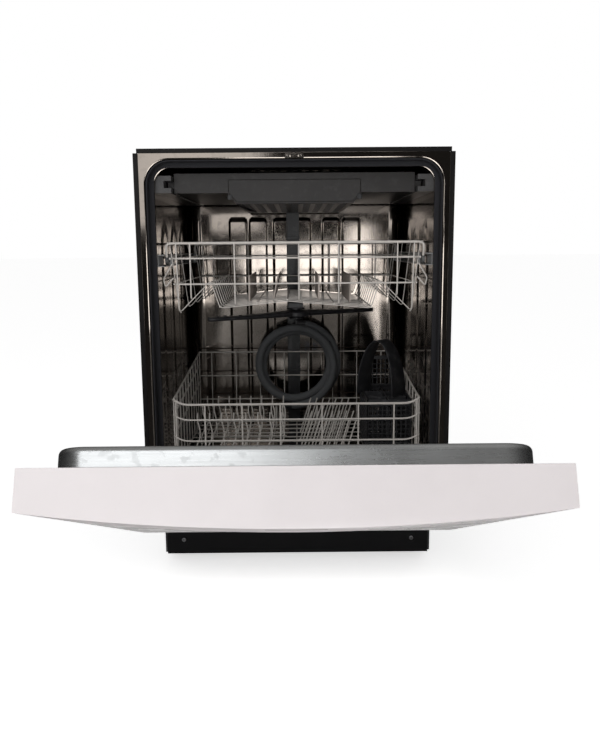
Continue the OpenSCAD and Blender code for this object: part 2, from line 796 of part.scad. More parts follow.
module dispenser() color("#3a3b3e") on_door() {
    x1 = disp_half - fit_gap;
    z0 = disp_z0 + fit_gap;
    z1 = disp_z0 + disp_h - fit_gap;
    difference() {
        block([-x1, liner_y - disp_d, z0], [x1, liner_y, z1]);
        block([-x1 + 8, liner_y - 26, z0 + 40], [10, liner_y + 1, z1 - 20]);
        block([-x1 + 4, liner_y - 3, z0 + 32], [14, liner_y + 1, z1 - 14]);
        bar_y(liner_y - 20, liner_y + 1, cap_x, cap_z, 22.5);
    }
}
cap_x = 50;
cap_z = disp_z0 + 84;
lid_axis_z = disp_z0 + 34;

module dispenser_lid() color("#55565a") on_door() {
    x1 = disp_half - fit_gap;
    block([-x1 + 5, liner_y - 2.6, lid_axis_z], [13, liner_y, disp_z0 + disp_h - 15]);
    bar_x(-x1 + 5, 13, liner_y - 1.3, lid_axis_z, 1.3);
}

module rinse_cap() color("#6c9ac0") on_door() {
    bar_y(liner_y - 19, liner_y + 1, cap_x, cap_z, 22);
    block([cap_x - 16, liner_y + 1, cap_z - 2.5], [cap_x + 16, liner_y + 4, cap_z + 2.5]);
}

// ---------- cutlery tray ----------

tray_outline = [
    [-tray_half, tray_top_z], [-tray_half, tray_low_z], [-trough_w / 2, tray_low_z],
    [-trough_w / 2 + 16, trough_z], [trough_w / 2 - 16, trough_z], [trough_w / 2, tray_low_z],
    [tray_half, tray_low_z], [tray_half, tray_top_z],
];

module cutlery_tray() color("#6d6c6a") in_place() {
    difference() {
        slab_y(tray_front, tray_rear - tray_front) polygon(band(tray_outline, 2.4));
        for (x = [-4:4], y = [0:11])
            block([x * 24 - 7, tray_front + 20 + y * 30, trough_z - 3],
                  [x * 24 + 7, tray_front + 40 + y * 30, trough_z + 3]);
    }
    slab_y(tray_front, 3) polygon(tray_outline);
    slab_y(tray_rear - 3, 3) polygon(tray_outline);
    block_pair([tray_half, tray_front + 6, runner_z - 6], [tray_half + runner_w, tray_rear - 6, runner_z + 6]);
}

// ---------- upper rack ----------

ridge_x = rack_half * 0.685;
step_x = rack_half * 0.615;
ridge_z = upper_low_z + 69;
rack_rib = [
    [-rack_half, upper_low_z], [-ridge_x, ridge_z], [-step_x, upper_floor_z],
    [step_x, upper_floor_z], [ridge_x, ridge_z], [rack_half, upper_low_z],
];
rib_count = floor((rack_rear - rack_front) / rib_gap);
function rib_y(i) = rack_front + wire_d / 2 + i * (rack_rear - rack_front - wire_d) / rib_count;
upper_verticals = [-0.83, -0.48, 0.03, 0.345, 0.81];

// One end of the upper rack: three cross wires and the uprights between them
module upper_end(y) {
    wire_x(-rack_half - wire_d, rack_half + wire_d, y, upper_top_z, wire_d);
    for (z = [upper_top_z - 33, upper_top_z - 83]) wire_x(-rack_half + wire_d, rack_half - wire_d, y, z, wire_d * 0.8);
    for (f = upper_verticals) wire_z(rib_z(f * rack_half) , upper_top_z, f * rack_half, y, wire_d * 0.8);
    for (s = [-1, 1]) wire_z(upper_low_z + 12, upper_top_z, s * (rack_half - wire_d), y, wire_d * 0.8);
}
// Height at which an upright meets the rib below it
function rib_z(x) = let (a = abs(x))
    wire_d * 0.8 + (a <= step_x ? upper_floor_z
    : a <= ridge_x ? upper_floor_z + (a - step_x) / (ridge_x - step_x) * (ridge_z - upper_floor_z)
    : ridge_z + (a - ridge_x) / (rack_half - ridge_x) * (upper_low_z - ridge_z));

module upper_rack_ends() color("#cfc9c2") in_place() {
    upper_end(rack_front - wire_d / 2);
    upper_end(rack_rear + wire_d / 2);
}

// One side of the upper rack with its wheel axles
module upper_side() {
    for (i = [0:rib_count]) wire_z(upper_low_z, upper_top_z, rack_half, rib_y(i), wire_d * 0.8);
    for (z = [upper_low_z + 50, upper_top_z]) wire_y(rack_front, rack_rear, rack_half, z, wire_d);
    wire_y(rack_front, rack_rear, rack_half, upper_axle_z, wire_d);
    for (y = upper_axles) {
        block([rack_half - 1, y - 12, upper_axle_z - 10], [rack_half + 3, y + 12, upper_axle_z + 10]);
        bar_x(rack_half + 3, wheel_x + 1 + wheel_t, y, upper_axle_z, axle_r);
    }
    slab_y(rack_front + 1, 4)
        polygon(band([[rack_half, upper_axle_z - 20], [rack_half + 12, upper_axle_z - 36],
                      [rack_half + 12, upper_axle_z - 52], [rack_half, upper_axle_z - 44]], 3));
}
upper_axles = [rack_front + 45, rack_rear - 20];
lower_axles = [rack_front + 40, rack_rear - 40];
module upper_rack_sides() color("#cfc9c2") in_place() {
    upper_side();
    mirror([1, 0, 0]) upper_side();
}

module upper_rack_floor() color("#cfc9c2") in_place() {
    for (i = [0:rib_count]) slab_y(rib_y(i) - wire_d * 0.4, wire_d * 0.8)
        polygon(band([for (p = rack_rib) [p[0] * (1 - wire_d / rack_half), p[1]]], wire_d * 0.8));
    for (x = [-ridge_x, -step_x, -step_x / 2, 0, step_x / 2, step_x, ridge_x])
        wire_y(rack_front, rack_rear, x, (abs(x) > step_x ? ridge_z : upper_floor_z) + wire_d * 0.4, wire_d * 0.8);
    for (x = cup_strips)
        block([x - 1.5, rack_front + 90, upper_floor_z + wire_d * 0.8], [x + 1.5, rack_rear - 60, upper_floor_z + 62]);
}
cup_strips = [-95, -45, 48, 112];

// A wheel pair on one axle line
module wheel_pair(y, z, r) {
    for (s = [-1, 1])
        translate([s * (wheel_x + 1 + wheel_t / 2), y, z])
            rotate([0, 90, 0])
                difference() {
                    cylinder(r = r, h = wheel_t - 1, center = true);
                    cylinder(r = axle_r + run_gap, h = wheel_t + 1, center = true);
                }
}
module upper_wheels_front() color("#8b8b8d") in_place() wheel_pair(upper_axles[0], upper_axle_z, upper_wheel_r);
module upper_wheels_rear() color("#8b8b8d") in_place() wheel_pair(upper_axles[1], upper_axle_z, upper_wheel_r);

module upper_feed_tube() color("#232326") in_place() {
    block([-16, arm_y - 16, upper_tube_z - 5], [16, rack_rear, upper_tube_z + 5]);
    bar_y(rack_rear, duct_y - part_gap, duct_x, upper_tube_z, 9);
    bar_z(upper_arm_z + arm_t + part_gap, upper_tube_z - 5, 0, arm_y, 20);
    bar_z(upper_arm_z - 2, upper_arm_z + arm_t + part_gap, 0, arm_y, arm_bore_r - run_gap);
    bar_z(upper_arm_z - 5, upper_arm_z - 2, 0, arm_y, 15);
}

module upper_spray_arm() color("#232326") in_place()
    translate([0, arm_y, upper_arm_z]) rotate([0, 0, arm_turn]) spray_arm();

// ---------- lower rack ----------

// How far the front and side wires lie below the rim, and the front uprights as shares of the half width
lower_drops = [0, 31, 74];
lower_uprights = [-0.745, -0.447, -0.139, 0.2, 0.496, 0.787];

// A cross wire whose ends bend up to the corners
function bent_wire(z, lift) = [
    [-rack_half - wire_d / 2, z + lift], [-rack_half + 20, z], [rack_half - 20, z], [rack_half + wire_d / 2, z + lift],
];

module lower_front() {
    y = rack_front - wire_d;
    for (drop = lower_drops)
        slab_y(y, wire_d) polygon(band(bent_wire(lower_top_z - drop, 10), drop == 0 ? wire_d * 1.2 : wire_d * 0.9));
    for (f = lower_uprights) wire_z(lower_floor_z, lower_top_z, f * rack_half, y + wire_d / 2, wire_d * 0.9);
    for (s = [-1, 1]) wire_z(lower_floor_z, lower_corner_z, s * (rack_half - wire_d), y + wire_d / 2, wire_d * 0.9);
}

module lower_back() {
    y = rack_rear + wire_d / 2;
    for (z = [lower_rear_z, lower_rear_z - 60, lower_rear_z - 120])
        wire_x(-rack_half - wire_d / 2, rack_half + wire_d / 2, y, z, wire_d * 0.9);
    for (i = [-3.5:3.5]) wire_z(lower_floor_z, lower_rear_z, i * rack_half / 4, y, wire_d * 0.9);
}
module lower_rack_ends() color("#cfc9c2") in_place() {
    lower_front();
    lower_back();
}

// Height of the lower rack's rim at depth y
function rim_z(y) = lower_corner_z + (lower_rear_z - lower_corner_z) * (y - rack_front) / (rack_rear - rack_front);

module lower_side() {
    d = wire_d * 0.9;
    slab_x(rack_half - wire_d / 2, wire_d)
        for (drop = lower_drops)
            polygon(band([[rack_front + 1, lower_corner_z - drop], [rack_rear - 1, rim_z(rack_rear) - drop]], wire_d));
    for (i = [0:rib_count]) wire_z(lower_floor_z - wire_d, rim_z(rib_y(i)), rack_half, rib_y(i), d);
    wire_y(rack_front, rack_rear, rack_half, lower_floor_z - wire_d / 2, wire_d);
    for (y = lower_axles) {
        block([rack_half - 2, y - 13, lower_axle_z - 7], [rack_half + 3, y + 13, lower_floor_z + 8]);
        bar_x(rack_half + 3, wheel_x + 1 + wheel_t, y, lower_axle_z, axle_r);
    }
}
module lower_rack_sides() color("#cfc9c2") in_place() {
    lower_side();
    mirror([1, 0, 0]) lower_side();
}

module lower_rack_floor() color("#cfc9c2") in_place() {
    x1 = rack_half - wire_d / 2;
    for (i = [0:rib_count]) wire_x(-x1, x1, rib_y(i), lower_floor_z, wire_d * 0.9);
    for (i = [-4:4]) wire_y(rack_front, rack_rear, i * x1 / 4.5, lower_floor_z - wire_d * 0.7, wire_d * 0.9);
}

// A row of tines on a cross rail; lean tips them sideways
module tine_row(x0, x1, y, pitch, lean, h) {
    rail_z = lower_floor_z + wire_d * 0.9 + tine_d / 2;
    wire_x(x0 - 4, x1 + 4, y, rail_z, tine_d);
    for (x = [x0:pitch:x1])
        translate([x, y, rail_z]) rotate([0, lean, 0]) cylinder(d = tine_d, h = h, $fn = 6);
}

module lower_tines() color("#d8d2cb") in_place() {
    for (y = left_rows) tine_row(-rack_half + 34, -28, y, 25, 0, tine_h);
    for (y = right_rows) tine_row(8, tine_x1 - 36, y, 20, 17, tine_h * 0.92);
    for (s = [-1, 1]) {
        wire_y(coil_y - 30, coil_y + 30, s * cradle_x, cradle_z, wire_d);
        for (y = [coil_y - 28, coil_y + 28])
            wire_z(lower_floor_z + wire_d * 0.45, cradle_z, s * cradle_x, y, wire_d * 0.9);
    }
}
left_rows = [rack_front + 60, rack_front + 150, rack_front + 240];
right_rows = [rack_front + 45, rack_front + 125, rack_front + 205, rack_front + 270];

module lower_wheels_front() color("#8b8b8d") in_place() wheel_pair(lower_axles[0], lower_axle_z, lower_wheel_r);
module lower_wheels_rear() color("#8b8b8d") in_place() wheel_pair(lower_axles[1], lower_axle_z, lower_wheel_r);

// Basket with six cells
module cutlery_basket() color("#38393c") in_place() {
    difference() {
        block([basket_x0, basket_y0, basket_z], [basket_x1, basket_y0 + basket_l, basket_top_z]);
        for (i = [0, 1], j = [0:2]) {
            cx = (basket_w - basket_t) / 2;
            cy = (basket_l - basket_t) / 3;
            translate([basket_x0 + basket_t + i * cx, basket_y0 + basket_t + j * cy, basket_z + basket_t])
                cube([cx - basket_t, cy - basket_t, basket_h]);
        }
    }
}

// The basket's broad bow, which stands on its rim
module basket_handle() color("#38393c") in_place() {
    slab_y(basket_y0 + (basket_l - bow_w) / 2, bow_w)
        polygon(band(bow_points((basket_x0 + basket_x1) / 2), bow_t));
}
function bow_points(x_mid) = [for (a = [0:15:180])
    [x_mid + (basket_w - bow_t) / 2 * cos(a), basket_top_z + fit_gap + basket_bow_h * sin(a)]];

module hose_coil() color("#55575a") in_place() {
    translate([0, coil_y, coil_z]) rotate([90, 0, 0])
        rotate_extrude()
            translate([coil_d / 2 - coil_t, -coil_t / 2]) square([coil_t, coil_t]);
}

// ---------- nodes ----------

tub_shell();
tub_back();
tub_floor();
door_seal();
front_posts();
top_strip();
insulation_jacket();
base_tray();
toe_kick();
toe_kick_screws();
latch_striker();
feed_duct();
upper_rail_left();
upper_rail_right();
tray_rail_left();
tray_rail_right();
sump();
filter_screen();
filter_cup();
wash_pump();
drain_pump();
inlet_valve();
hinge_brackets();
foot_front_left();
foot_front_right();
foot_rear();
lower_spray_arm();
door_panel();
control_panel();
door_liner();
hinge_arm_left();
hinge_arm_right();
latch_housing();
latch_hook();
control_board();
display_window();
power_button();
program_button_1();
program_button_2();
start_button();
dispenser();
dispenser_lid();
rinse_cap();
cutlery_tray();
upper_rack_ends();
upper_rack_sides();
upper_rack_floor();
upper_wheels_front();
upper_wheels_rear();
upper_spray_arm();
upper_feed_tube();
lower_rack_ends();
lower_rack_sides();
lower_rack_floor();
lower_tines();
lower_wheels_front();
lower_wheels_rear();
cutlery_basket();
basket_handle();
hose_coil();
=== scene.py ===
"""Looks of a built-in dishwasher whose door stands part open.

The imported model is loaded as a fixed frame. Sizes are in millimetres, counted as the frame counts
them: X to the right, Y into the machine from the front plane of the tub, Z up from the floor.
"""

import json
import logging
import math
from collections.abc import Callable, Sequence
from dataclasses import dataclass, field
from enum import Enum

import bmesh
import bpy
import numpy as np
from mathutils import Matrix, Vector


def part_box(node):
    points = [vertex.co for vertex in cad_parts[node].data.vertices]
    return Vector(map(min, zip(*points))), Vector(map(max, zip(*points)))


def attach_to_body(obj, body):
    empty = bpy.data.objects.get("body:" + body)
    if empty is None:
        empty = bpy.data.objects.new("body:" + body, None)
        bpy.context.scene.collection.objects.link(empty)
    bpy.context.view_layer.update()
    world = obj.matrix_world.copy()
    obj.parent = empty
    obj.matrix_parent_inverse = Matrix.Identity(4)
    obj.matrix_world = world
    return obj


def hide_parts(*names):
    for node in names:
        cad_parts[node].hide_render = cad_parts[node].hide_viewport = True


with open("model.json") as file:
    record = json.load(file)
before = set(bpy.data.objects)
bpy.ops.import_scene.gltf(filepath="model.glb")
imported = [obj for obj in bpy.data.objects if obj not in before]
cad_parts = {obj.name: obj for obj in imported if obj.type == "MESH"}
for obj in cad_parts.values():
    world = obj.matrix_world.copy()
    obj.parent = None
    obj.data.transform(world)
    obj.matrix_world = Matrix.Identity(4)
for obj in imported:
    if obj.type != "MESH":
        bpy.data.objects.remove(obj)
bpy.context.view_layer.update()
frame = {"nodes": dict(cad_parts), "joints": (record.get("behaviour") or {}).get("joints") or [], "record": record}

LOG = logging.getLogger("dishwasher")
MM = 0.001
Array = np.ndarray


# ---------- places ----------


class Place:
    """Turns millimetres counted from the tub's front plane into the row frame, and back."""

    def __init__(self) -> None:
        """Reads the front plane, the hinge and the door's angle from the frame."""
        hinge = next(j for j in frame["joints"] if j["name"] == "door_hinge")
        self.front = np.array([0.0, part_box("tub_shell")[0].y, 0.0])
        self.hinge = np.array(hinge["pos_m"])
        self.angle = -math.radians(hinge["range_deg"][0])

    def turn(self, points: Array, angle: float) -> Array:
        """Turns row-frame points about the hinge line by an angle in radians."""
        c, s = math.cos(angle), math.sin(angle)
        matrix = np.array([[1, 0, 0], [0, c, -s], [0, s, c]])
        return (points - self.hinge) @ matrix.T + self.hinge

    def cabinet(self, points: Array) -> Array:
        """Places points of a cabinet piece in the row frame."""
        return np.asarray(points, float) * MM + self.front

    def door(self, points: Array) -> Array:
        """Places points of a door piece, given as on the closed door, where the door stands."""
        return self.turn(self.cabinet(points), self.angle)

    def size(self, node: str) -> tuple[Array, Array]:
        """Lowest and highest corner of a CAD node, in millimetres from the tub's front plane."""
        low, high = (np.array(corner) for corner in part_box(node))
        return (low - self.front) / MM, (high - self.front) / MM

    def closed_size(self, node: str) -> tuple[Array, Array]:
        """Lowest and highest corner of a door node with the door closed, in millimetres."""
        data = frame["nodes"][node].data
        points = np.empty(len(data.vertices) * 3, np.float32)
        data.vertices.foreach_get("co", points)
        points = (self.turn(points.reshape(-1, 3), -self.angle) - self.front) / MM
        return points.min(0), points.max(0)


PLACE = Place()
Placing = Callable[[Array], Array]


# ---------- shapes ----------


@dataclass
class Shape:
    """Points and faces of a mesh in the making."""

    points: Array
    quads: Array
    caps: list[list[int]] = field(default_factory=list)

    @staticmethod
    def joined(shapes: Sequence["Shape"]) -> "Shape":
        """Several shapes as one.

        Args:
            shapes: the shapes to put side by side.

        Returns:
            One shape that holds them all.
        """
        starts = np.cumsum([0] + [len(s.points) for s in shapes])
        caps = [[int(i + at) for i in cap] for s, at in zip(shapes, starts) for cap in s.caps]
        quads = np.concatenate([s.quads + at for s, at in zip(shapes, starts)])
        return Shape(np.concatenate([s.points for s in shapes]), quads, caps)

    def turned(self, angle: float, centre: Sequence[float]) -> "Shape":
        """The shape turned about an upright line through centre by an angle in radians."""
        c, s = math.cos(angle), math.sin(angle)
        matrix = np.array([[c, -s, 0], [s, c, 0], [0, 0, 1]])
        middle = np.array(centre, float)
        return Shape((self.points - middle) @ matrix.T + middle, self.quads, self.caps)


def loft(loops: Array, ring: bool = False) -> Shape:
    """A skin over closed loops: point (u, v) is point v of loop u, and v wraps round.

    Args:
        loops: the loops' points, as (loops, points in a loop, 3).
        ring: whether the last loop joins the first; otherwise both ends are capped.

    Returns:
        The closed shape.
    """
    n, k = loops.shape[:2]
    u = np.arange(n if ring else n - 1)[:, None]
    v = np.arange(k)[None, :]
    here, there = u * k, (u + 1) % n * k
    quads = np.stack([here + v, here + (v + 1) % k, there + (v + 1) % k, there + v], axis=-1)
    caps = [] if ring else [list(range(k)), list(range((n - 1) * k, n * k))]
    return Shape(loops.reshape(-1, 3), quads.reshape(-1, 4), caps)


def sweep(path: Array, profile: Array, side: Sequence[float], ring: bool = False,
          widths: Array | None = None) -> Shape:
    """A closed profile carried along a path: point (u, v) = path(u) + a(v) * side' + b(v) * across.

    Args:
        path: the path's points, as (n, 3).
        profile: the profile's points (a, b), where a runs along side and b across the path.
        side: a direction that the path never runs along.
        ring: whether the path closes on itself.
        widths: a factor on b at each point of the path, or none.

    Returns:
        The closed shape.
    """
    path = np.asarray(path, float)
    if ring:
        along = np.roll(path, -1, 0) - np.roll(path, 1, 0)
    else:
        along = np.gradient(path, axis=0)
    along /= np.linalg.norm(along, axis=1, keepdims=True)
    across = np.cross(along, np.array(side, float))
    across /= np.linalg.norm(across, axis=1, keepdims=True)
    up = np.cross(across, along)
    b = profile[:, 1][None, :, None] * (1 if widths is None else widths[:, None, None])
    loops = path[:, None] + profile[:, 0][None, :, None] * up[:, None] + b * across[:, None]
    return loft(loops, ring)


def circle(radius: float, sides: int) -> Array:
    """A circle's points: radius * (cos t, sin t)."""
    t = np.linspace(0, 2 * math.pi, sides, endpoint=False)
    return radius * np.stack([np.cos(t), np.sin(t)], axis=1)


def rounded_rect(width: float, height: float, radius: float, steps: int = 6) -> Array:
    """A rectangle about the origin whose corners are quarter circles."""
    t = np.linspace(0, math.pi / 2, steps + 1)
    turns = np.concatenate([t + quarter * math.pi / 2 for quarter in range(4)])
    signs = np.array([[1, 1], [-1, 1], [-1, -1], [1, -1]]).repeat(steps + 1, axis=0)
    middle = signs * (np.array([width, height]) / 2 - radius)
    return middle + radius * np.stack([np.cos(turns), np.sin(turns)], axis=1)


def bent(points: Sequence[Sequence[float]], radius: float, steps: int = 5) -> Array:
    """A run of straight stretches whose corners are bends: each is a quadratic curve that
    leaves and meets its stretches at most a radius from the corner.

    Args:
        points: the corners of the run.
        radius: the longest cut from each side of a corner.
        steps: how many stretches a bend is made of.

    Returns:
        The run's points, as (n, 3).
    """
    corners = np.array(points, float)
    runs = [corners[:1]]
    t = np.linspace(0, 1, steps + 1)[:, None]
    for before, corner, after in zip(corners[:-2], corners[1:-1], corners[2:]):
        back, ahead = before - corner, after - corner
        start = corner + back * min(0.45, radius / np.linalg.norm(back))
        end = corner + ahead * min(0.45, radius / np.linalg.norm(ahead))
        runs.append((1 - t) ** 2 * start + 2 * t * (1 - t) * corner + t**2 * end)
    return np.concatenate(runs + [corners[-1:]])


def wire(points: Sequence[Sequence[float]], d: float, side: Sequence[float],
         bend: float = 10.0, sides: int = 8) -> Shape:
    """A round wire of diameter d along a bent run in the plane that side stands upright on."""
    return sweep(bent(points, bend), circle(d / 2, sides), side)


def doorway(half: float, z0: float, z1: float, r: float, steps: int = 12, lines: int = 2) -> Array:
    """An open outline (x, z), square at the foot and rounded at its two top corners.

    Args:
        half: half of its width.
        z0: height of its foot.
        z1: height of its top.
        r: radius of its top corners.
        steps: how many stretches a corner is made of.
        lines: how many points each straight stretch has.

    Returns:
        The points from the right foot over the top to the left foot.
    """
    t = np.linspace(0, math.pi / 2, steps + 1)
    right = np.stack([half - r + r * np.cos(t), z1 - r + r * np.sin(t)], axis=1)
    foot = np.stack([np.full(lines, half), np.linspace(z0, z1 - r, lines, endpoint=False)], axis=1)
    top = np.linspace(half - r, 0, lines, endpoint=False)[1:]
    top = np.stack([top, np.full(len(top), z1)], axis=1)
    middle = np.array([[0.0, z1]])
    one = np.concatenate([foot, right, top])
    return np.concatenate([one, middle, one[::-1] * [-1, 1]])


def slabs(lows: Array, highs: Array) -> Shape:
    """Many boxes at once, each between its low and its high corner."""
    lows, highs = np.asarray(lows, float).reshape(-1, 3), np.asarray(highs, float).reshape(-1, 3)
    pick = np.array([[0, 0, 0], [1, 0, 0], [1, 1, 0], [0, 1, 0], [0, 0, 1], [1, 0, 1], [1, 1, 1], [0, 1, 1]])
    points = np.where(pick[None], highs[:, None], lows[:, None])
    sides = np.array([[0, 3, 2, 1], [4, 5, 6, 7], [0, 1, 5, 4], [1, 2, 6, 5], [2, 3, 7, 6], [3, 0, 4, 7]])
    quads = sides[None] + 8 * np.arange(len(lows))[:, None, None]
    return Shape(points.reshape(-1, 3), quads.reshape(-1, 4))


def lathe(profile: Sequence[Sequence[float]], centre: Sequence[float], axis: str, sides: int = 40) -> Shape:
    """A closed profile turned about an axis: point (u, v) = centre + h(v) * axis + r(v) * ray(u).

    Args:
        profile: the profile's points (r, h).
        centre: the point on the axis where h is nought.
        axis: "X", "Y" or "Z".
        sides: how many stretches a turn is made of.

    Returns:
        The closed shape.
    """
    rays = circle(1, sides)
    r, h = np.array(profile, float).T
    spin = "XYZ".index(axis)
    loops = np.zeros((sides, len(r), 3))
    loops[..., spin] = h
    loops[..., (spin + 1) % 3] = r * rays[:, :1]
    loops[..., (spin + 2) % 3] = r * rays[:, 1:]
    return loft(loops + np.array(centre, float), ring=True)


def smooth(t: Array) -> Array:
    """A soft step: 3 t^2 - 2 t^3, held to 0 and 1 outside."""
    t = np.clip(t, 0, 1)
    return t * t * (3 - 2 * t)


# ---------- shader maths ----------


class Value:
    """A socket that carries a number, on which Python's operators add Math nodes."""

    def __init__(self, shade: "Shade", socket: bpy.types.NodeSocket) -> None:
        """Wraps one output socket of a node in shade's tree."""
        self.shade = shade
        self.socket = socket

    def math(self, operation: str, a: "Value | float", b: "Value | float") -> "Value":
        """The result of a Math node on two numbers."""
        return self.shade.node("ShaderNodeMath", {"operation": operation}, {0: a, 1: b})

    def __add__(self, other: "Value | float") -> "Value":
        """The sum."""
        return self.math("ADD", self, other)

    def __radd__(self, other: "Value | float") -> "Value":
        """The sum, with the number first."""
        return self.math("ADD", other, self)

    def __sub__(self, other: "Value | float") -> "Value":
        """The difference."""
        return self.math("SUBTRACT", self, other)

    def __rsub__(self, other: "Value | float") -> "Value":
        """The difference, with the number first."""
        return self.math("SUBTRACT", other, self)

    def __mul__(self, other: "Value | float") -> "Value":
        """The product."""
        return self.math("MULTIPLY", self, other)

    def __rmul__(self, other: "Value | float") -> "Value":
        """The product, with the number first."""
        return self.math("MULTIPLY", other, self)

    def wave(self) -> "Value":
        """The sine of the number."""
        return self.math("SINE", self, 0.0)

    def between(self, low: float, high: float) -> "Value":
        """How far the number is on its way from low to high, as a soft step from 0 to 1."""
        settings = {"interpolation_type": "SMOOTHSTEP"}
        return self.shade.node("ShaderNodeMapRange", settings,
                               {"Value": self, "From Min": low, "From Max": high})


Colour = tuple[float, float, float]
Input = Value | float | Sequence[float]


class Shade:
    """One material's node tree in the making."""

    def __init__(self, name: str) -> None:
        """Starts a material that has one Principled shader."""
        self.material = bpy.data.materials.new(name)
        self.material.use_nodes = True
        self.tree = self.material.node_tree
        self.skin = self.tree.nodes["Principled BSDF"]

    def node(self, kind: str, settings: dict | None = None, inputs: dict | None = None,
             output: int | str = 0) -> Value:
        """Adds a node.

        Args:
            kind: the node's type.
            settings: what is set on the node itself, set first.
            inputs: values or links of its sockets, by name or number.
            output: the socket that is handed back.

        Returns:
            The chosen output.
        """
        made = self.tree.nodes.new(kind)
        for key, value in (settings or {}).items():
            if key == "stops":
                self.set_stops(made.color_ramp, value)
            else:
                setattr(made, key, value)
        for key, value in (inputs or {}).items():
            self.feed(made.inputs[key], value)
        return Value(self, made.outputs[output])

    @staticmethod
    def set_stops(ramp: bpy.types.ColorRamp, stops: Sequence[tuple[float, Colour]]) -> None:
        """Sets a ramp's stops from pairs of a place and a colour."""
        while len(ramp.elements) < len(stops):
            ramp.elements.new(0.5)
        for element, (place, colour) in zip(ramp.elements, stops):
            element.position = place
            element.color = (*colour, 1.0)

    def feed(self, socket: bpy.types.NodeSocket, value: Input) -> None:
        """Links a socket to a Value, or sets it to a plain number, vector or colour."""
        if isinstance(value, Value):
            self.tree.links.new(value.socket, socket)
        elif isinstance(value, (int, float)):
            socket.default_value = value
        else:
            socket.default_value = (*value, 1.0) if len(socket.default_value) == 4 else tuple(value)

    def dress(self, **inputs: Input) -> None:
        """Sets the shader's sockets: an underscore in a name stands for a blank."""
        for key, value in inputs.items():
            self.feed(self.skin.inputs[key.replace("_", " ")], value)

    def where(self, scale: Sequence[float] = (1, 1, 1), turn: Sequence[float] = (0, 0, 0)) -> Value:
        """Object coordinates in millimetres, stretched by scale and turned by turn."""
        source = self.node("ShaderNodeTexCoord", output="Object")
        sizes = tuple(s / MM for s in scale)
        return self.node("ShaderNodeMapping", {}, {"Vector": source, "Scale": sizes, "Rotation": turn})

    def noise(self, size: float, stretch: Sequence[float] = (1, 1, 1), detail: float = 3.0,
              rough: float = 0.55) -> Value:
        """Soft noise from 0 to 1 whose blobs are about size millimetres across, longer along stretch."""
        scale = tuple(1 / s for s in stretch)
        inputs = {"Vector": self.where(scale), "Scale": 1 / size, "Detail": detail, "Roughness": rough}
        return self.node("ShaderNodeTexNoise", {}, inputs)

    def cells(self, size: float, feature: str = "F1", randomness: float = 1.0) -> Value:
        """Distance to the nearest of points about size millimetres apart."""
        inputs = {"Vector": self.where(), "Scale": 1 / size, "Randomness": randomness}
        return self.node("ShaderNodeTexVoronoi", {"feature": feature}, inputs)

    def axis(self, name: str, turn: Sequence[float] = (0, 0, 0)) -> Value:
        """One object coordinate in millimetres."""
        return self.node("ShaderNodeSeparateXYZ", {}, {0: self.where(turn=turn)}, output=name)

    def blend(self, share: Value, first: Input, second: Input) -> Value:
        """A colour on its way from the first to the second."""
        settings = {"data_type": "RGBA"}
        return self.node("ShaderNodeMix", settings, {"Factor": share, 6: first, 7: second}, output=2)

    def bump(self, height: Value, depth: float, strength: float = 1.0) -> Value:
        """A normal from a height that runs from 0 to 1, depth millimetres deep."""
        inputs = {"Height": height, "Distance": depth * MM, "Strength": strength}
        return self.node("ShaderNodeBump", {}, inputs)


# ---------- finishes ----------


@dataclass(frozen=True)
class Finish:
    """What every finish has: its name, its colour and the record's slot it belongs to."""

    name: str
    colour: Colour
    slot: str

    def darker(self, share: float) -> Colour:
        """The colour times share."""
        return tuple(c * share for c in self.colour)

    def build(self) -> bpy.types.Material:
        """Makes the material, once for each finish."""
        made = bpy.data.materials.get(self.name)
        if made is None:
            shade = Shade(self.name)
            self.paint(shade)
            made = shade.material
        return made

    def paint(self, shade: Shade) -> None:
        """Dresses the shader; each kind of finish has its own."""
        raise NotImplementedError


@dataclass(frozen=True)
class Steel(Finish):
    """Rolled stainless sheet: fine streaks along one way, soft clouds and dried water marks."""

    rough: float = 0.16
    streak: tuple[float, float, float] = (40, 1, 1)
    marks: float = 0.5

    def paint(self, shade: Shade) -> None:
        """Streaks vary the gloss and the normal, clouds and marks the colour."""
        streaks = shade.noise(1.6, self.streak, detail=4, rough=0.7)
        cloud = shade.noise(90)
        ring = shade.noise(14, detail=5).between(0.56, 0.62) * self.marks
        tone = shade.blend(cloud.between(0.3, 0.75), self.darker(0.86), self.colour)
        stained = shade.blend(ring * 0.35, tone, self.darker(0.6))
        rough = self.rough + ((streaks - 0.5) * 0.8 + ring * 0.8 + (cloud - 0.5) * 0.4) * self.rough
        normal = shade.bump(streaks + shade.noise(120, detail=1) * 6, 0.02)
        shade.dress(Base_Color=stained, Metallic=1.0, Roughness=rough, Normal=normal)


@dataclass(frozen=True)
class Zinc(Finish):
    """Zinc plated steel: crystals of slightly different greys with dull handling marks."""

    def paint(self, shade: Shade) -> None:
        """Cells vary the colour and the gloss, noise dulls it in patches."""
        flake = shade.cells(4.5)
        dull = shade.noise(22).between(0.45, 0.7)
        tone = shade.blend(flake, self.colour, self.darker(0.75))
        normal = shade.bump(flake + dull, 0.03)
        shade.dress(Base_Color=shade.blend(dull * 0.5, tone, self.darker(0.7)), Metallic=1.0,
                    Roughness=0.28 + dull * 0.22 + flake * 0.08, Normal=normal)


